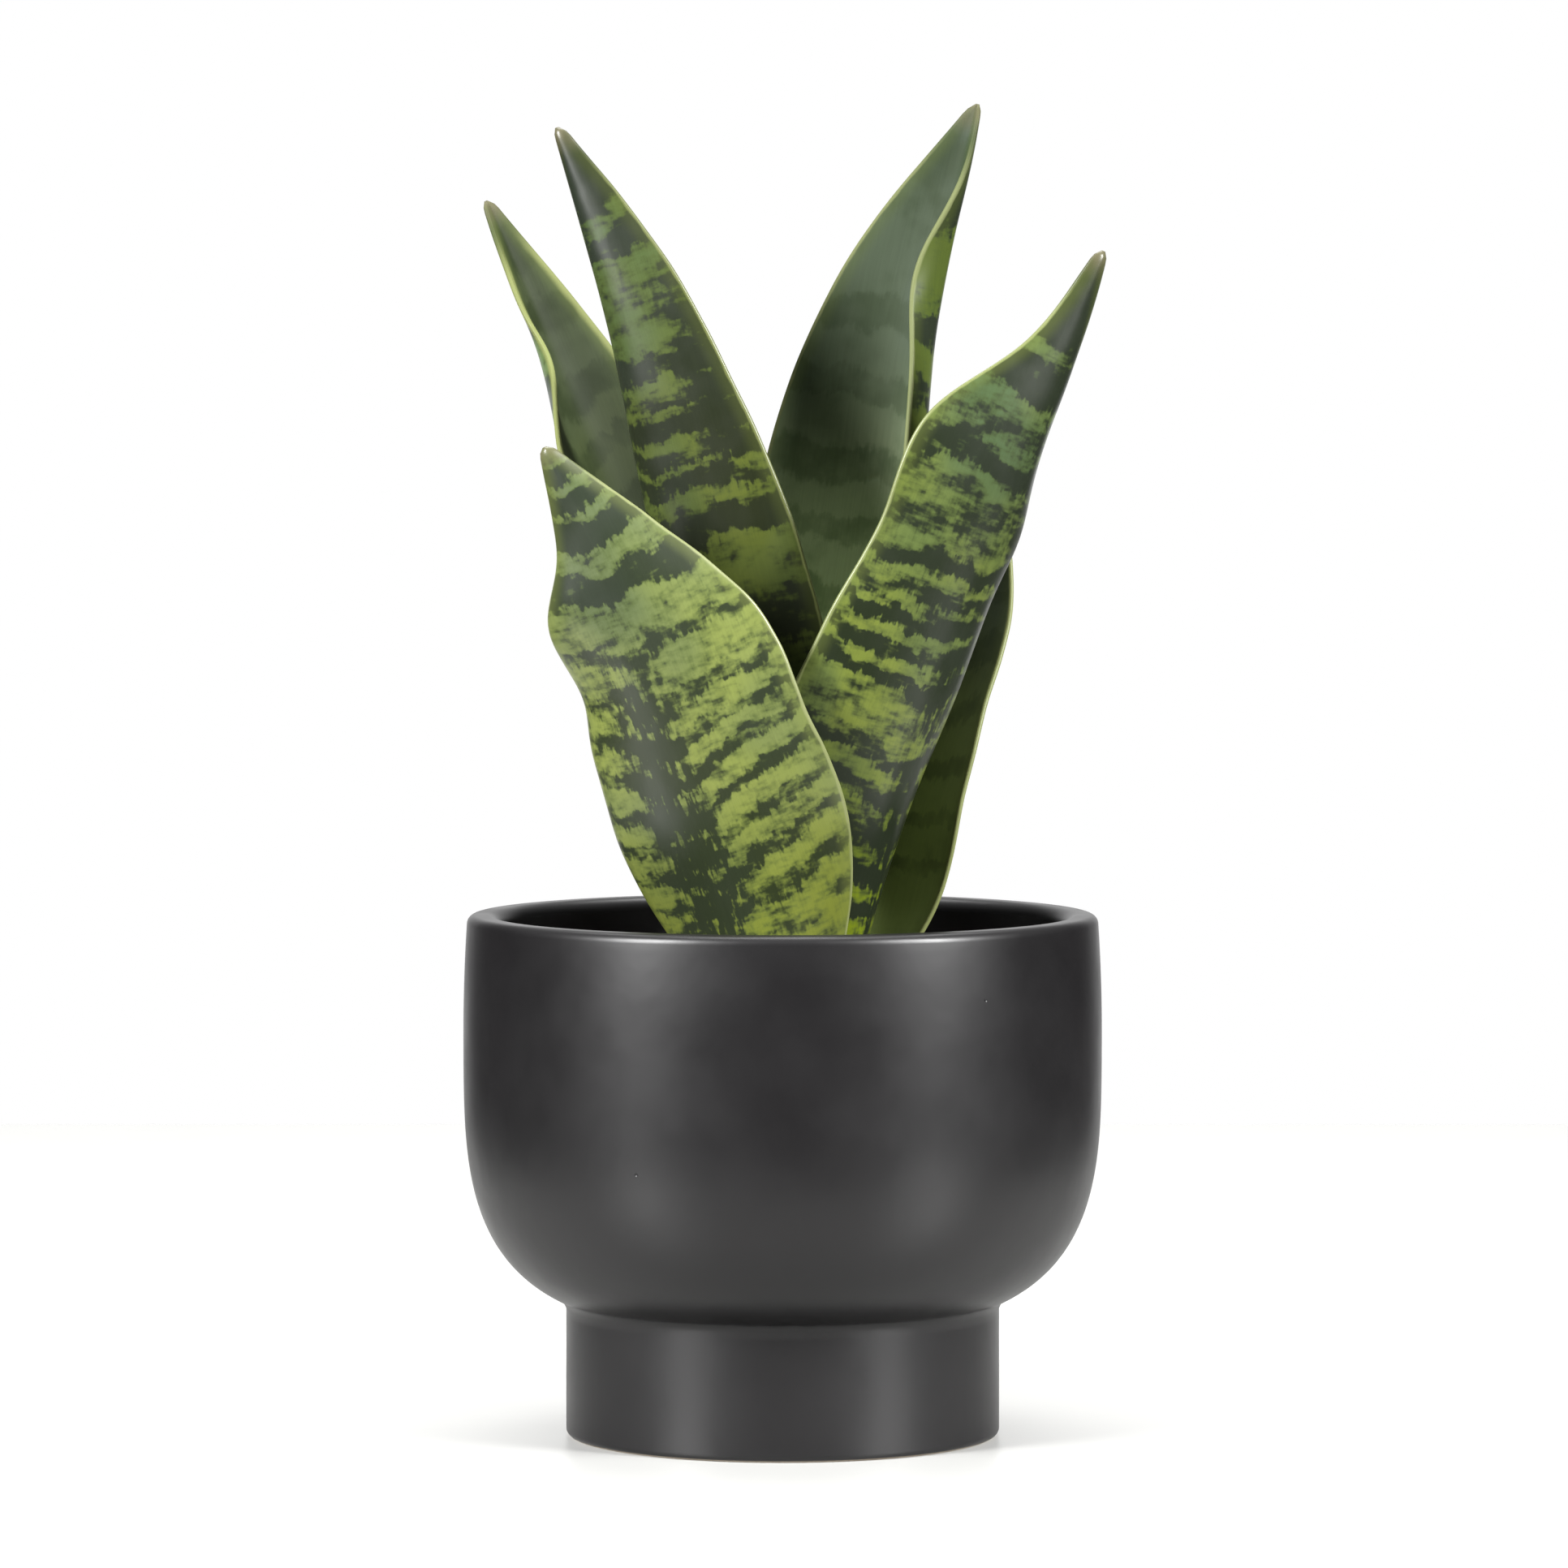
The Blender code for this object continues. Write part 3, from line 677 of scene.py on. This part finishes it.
def bandDarkness(tree, leaf, length, place, across, along):
    # where this point reads the row of bands: the bands point downwards at the keel, as chevrons,
    # and their edges run out in rags and fine streaks along the fibres
    offKeel = addNode(tree, "ShaderNodeMath", {"operation": "ABSOLUTE", 0: across})
    chevron = addNode(tree, "ShaderNodeMath", {"operation": "MULTIPLY", 0: offKeel, 1: -leaf["chevron"]})
    shift = unsettle(tree, place, chevron, skin["bandWander"])
    read = addNode(tree, "ShaderNodeMath", {
        "operation": "MULTIPLY_ADD", 0: shift, 1: 1 / length, 2: along})
    curve = addNode(tree, "ShaderNodeFloatCurve", {"Value": read})
    bandCurve(curve, leaf["bands"])
    return curve


def ribDarkness(tree, leaf, place, across, along):
    # the darker zone beside the keel, streaked along the fibres, on the lower part of the leaf
    strength, centre, halfWidth = leaf["rib"]
    ribEnd = leaf["ribEnd"]
    wandering = unsettle(tree, place, across, skin["ribWander"])
    offRib = addNode(tree, "ShaderNodeMath", {"operation": "SUBTRACT", 0: wandering, 1: float(centre)})
    away = addNode(tree, "ShaderNodeMath", {"operation": "ABSOLUTE", 0: offRib})
    darkness = 1.0
    for value, start, end, low, high in (
            (away, 0.0, float(halfWidth), strength, 0.0),
            (along, ribEnd - 0.1, ribEnd + 0.1, 1.0, 0.1),
            (leafGrain(tree, place, *skin["ribStreaks"]), 0.38, 0.6, 0.25, 1.15)):
        part = addNode(tree, "ShaderNodeMapRange", {
            "interpolation_type": "SMOOTHSTEP", "Value": value, "From Min": start, "From Max": end,
            "To Min": low, "To Max": high})
        darkness = addNode(tree, "ShaderNodeMath", {"operation": "MULTIPLY", 0: part, 1: darkness})
    return darkness


def leafMaterial(name, leaf, length):
    # living snake plant leaf: a thick waxy skin, glossy on the outer face and duller on the inner one,
    # yellow-green with ragged blue-green cross bands, and a hard pale line round the margin
    material, tree, shader = newMaterial("waxy leaf skin " + name)
    bladePlace = addNode(tree, "ShaderNodeAttribute", {"attribute_name": "bladePlace"})
    bladeShare = addNode(tree, "ShaderNodeAttribute", {"attribute_name": "bladeShare"})
    place = bladePlace.outputs["Vector"]
    across = addNode(tree, "ShaderNodeSeparateXYZ", {"Vector": place}).outputs["X"]
    shares = addNode(tree, "ShaderNodeSeparateXYZ", {"Vector": bladeShare.outputs["Vector"]})
    along, face, rim = shares.outputs["X"], shares.outputs["Y"], shares.outputs["Z"]
    fibre = leafGrain(tree, place, *skin["fibre"])

    bands = bandDarkness(tree, leaf, length, place, across, along)
    rimUneven = unsettle(tree, place, rim, skin["marginWander"])
    innerBands = unsettle(tree, place, bands, skin["innerRags"])
    # painted shade: a darker strip on one half of some leaves, where they lie in their neighbours' shade;
    # "shaded" gives its mm across from and to, its shares along from and to, and its darkness
    shadeStart, shadeEnd, shadeLow, shadeHigh, shadeAmount = leaf.get("shaded", (0, 1, 0, 1, 0))
    tipFrom = leaf["tipFrom"]
    eased = {}      # each value eased from one level to another between two places
    for label, value, start, end, low, high in (
            ("tip", along, tipFrom - 0.07, tipFrom + 0.07, 0.0, 0.45),
            ("upper", along, 0.55, 0.85, 0.0, 0.7),
            ("base", along, 0.16, 0.46, 1.0, 0.0),
            # the share of the inner face that is painted lighter towards the base, as painted light
            ("innerPaintedLightBase", along, 0.38, 0.74, 1.0, 0.0),
            ("innerBands", innerBands, 0.0, 1.2, 0.0, 0.9),
            # the painted shade strip, eased across its half and then along the leaf
            ("paintedShadeSide", across, shadeStart, shadeEnd, 0.0, shadeAmount),
            ("paintedShadeStart", along, shadeLow - 0.04, shadeLow + 0.04, 0.0, 1.0),
            ("paintedShadeEnd", along, shadeHigh - 0.04, shadeHigh + 0.04, 1.0, 0.0),
            ("margin", rimUneven, 0.0, leaf.get("marginWidth", 0.45), 0.9, 0.0),
            ("marginEnd", along, 0.90, 0.97, 1.0, 0.1),
            ("nearMargin", rim, 0.5, 4.0, 0.25, 0.0),
            ("dryEnd", along, 0.962, 0.998, 0.0, 0.85),
            ("dryPatches", leafGrain(tree, place, *skin["dryPatches"]), 0.3, 0.6, 0.6, 1.0),
            ("tint", leafGrain(tree, place, *skin["tint"]), 0.38, 0.62, 0.0, 0.5),
            ("fibreTone", fibre, 0.3, 0.7, 0.96, 1.04),
            ("gloss", leafGrain(tree, place, *skin["gloss"]), 0.3, 0.7, 0.28, 0.38)):
        eased[label] = addNode(tree, "ShaderNodeMapRange", {
            "interpolation_type": "SMOOTHSTEP", "Value": value, "From Min": start, "From Max": end,
            "To Min": low, "To Max": high})
    for label, first, second in (
            ("paintedShadeStrip", "paintedShadeSide", "paintedShadeStart"), ("paintedShadeStrip", "paintedShadeStrip", "paintedShadeEnd"),
            ("margin", "margin", "marginEnd"), ("dry", "dryEnd", "dryPatches")):
        eased[label] = addNode(tree, "ShaderNodeMath", {
            "operation": "MULTIPLY", 0: eased[first], 1: eased[second]})

    darkness = unsettle(tree, place, bands, skin["patches"])
    ribShade = ribDarkness(tree, leaf, place, across, along)
    # the rib, the dark tip, the painted shade strip and the leaf's own depth all add to the darkness
    for part in (ribShade, eased["tip"], eased["paintedShadeStrip"], leaf["depth"]):
        darkness = addNode(tree, "ShaderNodeMath", {"operation": "ADD", 0: darkness, 1: part})
    middling = addNode(tree, "ShaderNodeMapRange", {
        "interpolation_type": "SMOOTHSTEP", "Value": darkness, "From Min": 0.10, "From Max": 0.62,
        "To Min": 0.0, "To Max": 0.62})
    deep = addNode(tree, "ShaderNodeMapRange", {
        "interpolation_type": "SMOOTHSTEP", "Value": darkness, "From Min": 0.42, "From Max": 0.86})
    cool = addNode(tree, "ShaderNodeMath", {
        "operation": "ADD", 0: eased["tint"], 1: eased["upper"], "use_clamp": True})

    paint = {key: hexColour(leaf.get(key, skin["colours"].get(key))) for key in (
        "light", "lightUpper", "lightBase", "middle", "dark", "darkUpper", "margin",
        "innerLight", "innerLightCoolAndSheen", "innerPaintedLightBase", "innerDark", "innerDarkPaintedLightBase")}
    # the light ground turns cool upwards and takes another colour towards the base: partly the leaf's own
    # tone, and on the tall left leaf a painted shade, darker where its base lies deep among the others
    light = paintOver(tree, paint["light"], [
        (cool, paint["lightUpper"]), (eased["base"], paint["lightBase"])])
    dark = paintOver(tree, paint["dark"], [(cool, paint["darkUpper"])])
    outer = paintOver(tree, light, [(middling, paint["middle"]), (deep, dark)])
    # painted light: the inner face is painted lighter towards the base, where the leaves in front shade
    # it, and greyer and a little darker upwards as painted sheen, mixed with the random cool tint
    innerLight = paintOver(tree, paint["innerLight"], [
        (cool, paint["innerLightCoolAndSheen"]), (eased["innerPaintedLightBase"], paint["innerPaintedLightBase"])])
    innerDark = paintOver(tree, paint["innerDark"], [(eased["innerPaintedLightBase"], paint["innerDarkPaintedLightBase"])])
    both = paintOver(tree, innerLight, [(eased["innerBands"], innerDark), (face, outer)])
    fibred = addNode(tree, "ShaderNodeVectorMath", {
        "operation": "SCALE", 0: both, "Scale": eased["fibreTone"]})
    final = paintOver(tree, fibred, [
        (eased["nearMargin"], paint["light"]), (eased["margin"], paint["margin"]),
        (eased["dry"], hexColour(skin["dryTip"]))])

    rough = addNode(tree, "ShaderNodeMix", {
        "data_type": "FLOAT", 0: face, 2: skin["innerRoughness"], 3: eased["gloss"]})
    fibreBump = addNode(tree, "ShaderNodeBump", {"Strength": 0.3, "Distance": 0.02 * mm, "Height": fibre})
    slowBump = addNode(tree, "ShaderNodeBump", {
        "Strength": 0.5, "Distance": 0.15 * mm, "Height": leafGrain(tree, place, *skin["swell"]),
        "Normal": fibreBump})
    setNode(tree, shader, {
        "Base Color": final, "Roughness": rough, "Normal": slowBump, "IOR": skin["IOR"],
        "Specular IOR Level": leaf["specular"]})
    return material


def makeLeaves():
    for number, (name, leaf) in enumerate(leaves.items(), start=1):
        mesh = bladeMesh("blade_" + name, leaf, number)
        keel = through(leaf["keel"], np.linspace(0, 1, 60))
        length = float(np.linalg.norm(np.diff(keel, axis=0), axis=1).sum())
        piece = newPiece("fine_" + name, mesh, leafMaterial(name.replace("_", " "), leaf, length))
        faceOutwards(mesh)
        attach(piece, "root")
        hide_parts(name)


makeLeaves()
print("leaves grown:", len(leaves))

# the potting mix: peat with bark chips, crumbs and a little perlite on its surface

mix = dict(
    edgeHeight=92 * mm, middleHeight=94 * mm, gap=0.35 * mm,
    turnSteps=120, topRings=34, calmEdge=6 * mm, lump=1.3 * mm,
    lumps=[(3.2 * mm, 0.35, 3), (13 * mm, 0.65, 5)],    # size, share and seed
    shapesToPick=5, bulge=0.55,
    scatterRadius=59.5 * mm,
    # a finish is its name, darker and lighter tone, and grains and fibres in one metre
    peat=("damp peat", "#120d09", "#2c2119", 160.0, 900.0),
    rhizome=("rhizome skin", "#8a6a3f", "#c09a62", 120.0, 700.0),
    scatters=[
        dict(name="bark", perSquareMetre=15000, smallest=2.5 * mm, largest=7.5 * mm,
             squash=(1.0, 0.6, 0.3), tilt=0.5, sunk=0.2 * mm, seed=4,
             finish=("composted bark", "#2a1b11", "#5a4029", 240.0, 1400.0)),
        dict(name="crumb", perSquareMetre=125000, smallest=0.6 * mm, largest=1.6 * mm,
             squash=(1.0, 0.85, 0.75), tilt=3.0, sunk=0.1 * mm, seed=9,
             finish=("peat crumbs", "#150f0a", "#3a2b1f", 300.0, 1200.0)),
        dict(name="perlite", perSquareMetre=3800, smallest=0.9 * mm, largest=1.9 * mm,
             squash=(1.0, 0.9, 0.8), tilt=3.0, sunk=0.1 * mm, seed=15,
             finish=("perlite", "#a9a497", "#dcd8cd", 500.0, 1500.0)),
    ],
)


def mixMaterial(name, darkTone, lightTone, grainScale, fibreScale):
    # damp organic matter: dull, coarse and uneven in tone
    material, tree, shader = newMaterial(name)
    place = addNode(tree, "ShaderNodeTexCoord", {}).outputs["Object"]
    clumps = addNode(tree, "ShaderNodeTexNoise", {
        "Vector": place, "Scale": grainScale, "Detail": 6.0, "Roughness": 0.65})
    fibres = addNode(tree, "ShaderNodeTexNoise", {
        "Vector": place, "Scale": fibreScale, "Detail": 3.0, "Distortion": 0.6})
    share = addNode(tree, "ShaderNodeMapRange", {"Value": clumps, "From Min": 0.35, "From Max": 0.65})
    tone = addNode(tree, "ShaderNodeMix", {
        "data_type": "RGBA", 0: share, 6: hexColour(darkTone), 7: hexColour(lightTone)})
    rough = addNode(tree, "ShaderNodeMapRange", {"Value": fibres, "To Min": 0.8, "To Max": 1.0})
    bump = addNode(tree, "ShaderNodeBump", {"Strength": 0.8, "Distance": 0.4 * mm, "Height": fibres})
    setNode(tree, shader, {"Base Color": tone.outputs[2], "Roughness": rough, "Normal": bump})
    return material


def mixTop(radius):
    # rings of points from the middle to the given radius, lumpy but level at the pot's wall
    edgeRadius = mixWall()[-1][0]
    angles = np.linspace(0, math.tau, mix["turnSteps"], endpoint=False)
    radii = np.linspace(0.5 * mm, radius, mix["topRings"])
    x = radii[:, None] * np.cos(angles)
    y = radii[:, None] * np.sin(angles)
    calm = np.clip((edgeRadius - radii) / mix["calmEdge"], 0, 1)[:, None]
    lumps = sum(share * smoothNoise(np.stack([x / size, y / size, 0 * x], axis=-1), seed)
                for size, share, seed in mix["lumps"])
    rise = mix["middleHeight"] - mix["edgeHeight"]
    z = mix["edgeHeight"] + rise * (1 - (radii[:, None] / edgeRadius) ** 2)
    z = z + calm * mix["lump"] * lumps
    return np.stack([x, y, z], axis=-1)


def mixWall():
    # the pot's inside up to the level of the mix, with a small gap
    wall = [(r - mix["gap"], z + mix["gap"]) for r, z in innerWall()]
    return [point for point in wall if point[1] < mix["edgeHeight"]]


def makeMix():
    wall = mixWall()
    top = mixTop(wall[-1][0])
    angles = np.linspace(0, math.tau, mix["turnSteps"], endpoint=False)
    side = np.array([[(r * math.cos(a), r * math.sin(a), z) for a in angles] for r, z in wall[::-1]])
    points = np.concatenate([top, side])
    mesh, flat, faces = meshFromGrid("peat", points, closeAround=True)
    steps = mix["turnSteps"]
    faces.append(tuple(range(steps - 1, -1, -1)))
    faces.append(tuple(range(len(flat) - steps, len(flat))))
    mesh.from_pydata(flat.tolist(), [], faces)
    mesh.shade_smooth()
    piece = newPiece("peat", mesh, mixMaterial(*mix["peat"]))
    faceOutwards(mesh)
    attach(piece, "root")
    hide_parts("potting_mix")


def chipShapes(name, squash):
    # a few rough lumps to pick from, one unit across
    shapes = bpy.data.collections.new(name + " shapes")
    for number in range(mix["shapesToPick"]):
        model = bmesh.new()
        bmesh.ops.create_icosphere(model, subdivisions=1, radius=0.5)
        for vertex in model.verts:
            bulge = noise.noise(vertex.co * 1.9 + Vector((number * 7.7, 3.1, 0)))
            vertex.co *= 1 + mix["bulge"] * bulge
            vertex.co = Vector(c * k for c, k in zip(vertex.co, squash))
        mesh = bpy.data.meshes.new(name)
        model.to_mesh(mesh)
        model.free()
        shapes.objects.link(bpy.data.objects.new(name, mesh))
    return shapes


def scatterTree():
    # strews chips over a surface, each turned and sized at random
    tree, given, result = newGeometryTree("strewn over the surface", {
        "Chips": "NodeSocketCollection", "Density": "NodeSocketFloat", "Smallest": "NodeSocketFloat",
        "Largest": "NodeSocketFloat", "Tilt": "NodeSocketFloat", "Sunk": "NodeSocketFloat",
        "Seed": "NodeSocketInt", "Material": "NodeSocketMaterial"})
    spots = addNode(tree, "GeometryNodeDistributePointsOnFaces", {
        "Mesh": given["Geometry"], "Density": given["Density"],
        "Seed": given["Seed"]})
    chips = addNode(tree, "GeometryNodeCollectionInfo", {
        "Collection": given["Chips"], "Separate Children": True, "Reset Children": True})
    size = addNode(tree, "FunctionNodeRandomValue", {
        "data_type": "FLOAT", 2: given["Smallest"], 3: given["Largest"],
        "Seed": given["Seed"]})
    tiltDown = addNode(tree, "ShaderNodeMath", {"operation": "MULTIPLY", 0: given["Tilt"], 1: -1.0})
    lowest = addNode(tree, "ShaderNodeCombineXYZ", {0: tiltDown, 1: tiltDown, 2: 0.0})
    highest = addNode(tree, "ShaderNodeCombineXYZ", {0: given["Tilt"], 1: given["Tilt"], 2: math.tau})
    turn = addNode(tree, "FunctionNodeRandomValue", {
        "data_type": "FLOAT_VECTOR", 0: lowest, 1: highest,
        "Seed": given["Seed"]})
    strewn = addNode(tree, "GeometryNodeInstanceOnPoints", {
        "Points": spots.outputs["Points"], "Instance": chips, "Pick Instance": True,
        "Rotation": turn, "Scale": size.outputs[1]})
    drop = addNode(tree, "ShaderNodeMath", {"operation": "MULTIPLY", 0: given["Sunk"], 1: -1.0})
    offset = addNode(tree, "ShaderNodeCombineXYZ", {2: drop})
    lowered = addNode(tree, "GeometryNodeTranslateInstances", {
        "Instances": strewn, "Translation": offset, "Local Space": False})
    real = addNode(tree, "GeometryNodeRealizeInstances", {"Geometry": lowered})
    painted = addNode(tree, "GeometryNodeSetMaterial", {"Geometry": real, "Material": given["Material"]})
    setNode(tree, result, {"Geometry": painted})
    return tree


def strewChips():
    tree = scatterTree()
    for kind in mix["scatters"]:
        mesh, flat, faces = meshFromGrid("ground", mixTop(mix["scatterRadius"]), closeAround=True)
        mesh.from_pydata(flat.tolist(), [], faces)
        ground = newPiece("ground", mesh)
        shapes = chipShapes(kind["name"], kind["squash"])
        values = {
            "Chips": shapes, "Density": float(kind["perSquareMetre"]), "Smallest": kind["smallest"],
            "Largest": kind["largest"], "Tilt": float(kind["tilt"]), "Sunk": kind["sunk"],
            "Seed": kind["seed"], "Material": mixMaterial(*kind["finish"])}
        piece = applyTree(ground, tree, values, kind["name"] + "_on_mix")
        for shape in list(shapes.objects):
            bpy.data.objects.remove(shape)
        bpy.data.collections.remove(shapes)
        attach(piece, "root")
        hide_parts("potting_mix")
        print(kind["name"], "faces:", len(piece.data.polygons))


def paintRhizome():
    # the pale fleshy rootstock under the mix keeps its CAD shape
    node = frame["nodes"]["rhizome"]
    node.data.materials.clear()
    node.data.materials.append(mixMaterial(*mix["rhizome"]))


makeMix()
strewChips()
paintRhizome()
print("potting mix filled")

# floor and light

studio = dict(
    floorWidth=0.6, floorFront=-0.25, floorBack=0.7,        # metres
    floorColour="#9b9b99", floorGlow=0.05, floorRoughness=(0.34, 0.38), floorSpecular=0.3,
    paperBehind=1.3, lightAbove=0.5, darkFlags=0.045,
    aim=(0, 0, 0.13),
    softboxes=[      # place, width and height in metres, and watts
        ("softbox_left", (-0.98, -0.78, 0.72), (0.28, 0.74), 68),
        ("softbox_right", (1.05, -0.69, 0.72), (0.28, 0.74), 65),
        ("softbox_top", (0, 0.45, 1.6), (1.2, 1.2), 34)],
)


def makeFloor():
    half = studio["floorWidth"] / 2
    front, back = studio["floorFront"], studio["floorBack"]
    mesh = bpy.data.meshes.new("studio_floor")
    corners = [(-half, front, 0), (half, front, 0), (half, back, 0), (-half, back, 0)]
    mesh.from_pydata(corners, [], [(0, 1, 2, 3)])
    floor = bpy.data.objects.new("studio_floor", mesh)
    scene.collection.objects.link(floor)
    # white acrylic of a light table, lit from below, with a finely blasted top
    material, tree, shader = newMaterial("light table acrylic")
    place = addNode(tree, "ShaderNodeTexCoord", {}).outputs["Object"]
    grain = addNode(tree, "ShaderNodeTexNoise", {"Vector": place, "Scale": 40.0})
    smoothest, roughest = studio["floorRoughness"]
    shade = addNode(tree, "ShaderNodeMapRange", {
        "Value": grain, "To Min": smoothest, "To Max": roughest})
    setNode(tree, shader, {
        "Base Color": hexColour(studio["floorColour"]), "Roughness": shade,
        "Specular IOR Level": studio["floorSpecular"],
        "Emission Color": (1, 1, 1, 1), "Emission Strength": studio["floorGlow"]})
    floor.data.materials.append(material)


def makeWorld():
    # bright paper behind the plant, a little light from above, and dark flags at the sides and in front
    world = bpy.data.worlds.new("studio")
    scene.world = world
    world.use_nodes = True
    tree = world.node_tree
    tree.nodes.clear()
    place = addNode(tree, "ShaderNodeTexCoord", {})
    direction = addNode(tree, "ShaderNodeSeparateXYZ", {"Vector": place.outputs["Generated"]})
    behind = addNode(tree, "ShaderNodeMapRange", {
        "interpolation_type": "SMOOTHSTEP", "Value": direction.outputs["Y"],
        "From Min": 0.84, "From Max": 0.98,
        "To Min": studio["darkFlags"], "To Max": studio["paperBehind"]})
    above = addNode(tree, "ShaderNodeMapRange", {
        "interpolation_type": "SMOOTHSTEP", "Value": direction.outputs["Z"],
        "From Min": 0.25, "From Max": 0.9, "To Min": 0.0, "To Max": studio["lightAbove"]})
    around = addNode(tree, "ShaderNodeMath", {"operation": "ADD", 0: behind, 1: above})
    path = addNode(tree, "ShaderNodeLightPath", {})
    level = addNode(tree, "ShaderNodeMix", {
        "data_type": "FLOAT", 0: path.outputs["Is Camera Ray"], 2: around, 3: 1.0})
    light = addNode(tree, "ShaderNodeBackground", {"Color": (1, 1, 1, 1), "Strength": level})
    addNode(tree, "ShaderNodeOutputWorld", {"Surface": light})


def addSoftbox(name, place, target, size, power):
    data = bpy.data.lights.new(name, "AREA")
    data.shape = "RECTANGLE"
    data.size, data.size_y = size
    data.energy = power
    lamp = bpy.data.objects.new(name, data)
    scene.collection.objects.link(lamp)
    lamp.location = place
    lamp.rotation_euler = (Vector(target) - Vector(place)).to_track_quat("-Z", "Y").to_euler()
    lamp.visible_camera = False


makeFloor()
makeWorld()
for name, place, size, watts in studio["softboxes"]:
    addSoftbox(name, place, studio["aim"], size, watts)
print("floor and lights set")
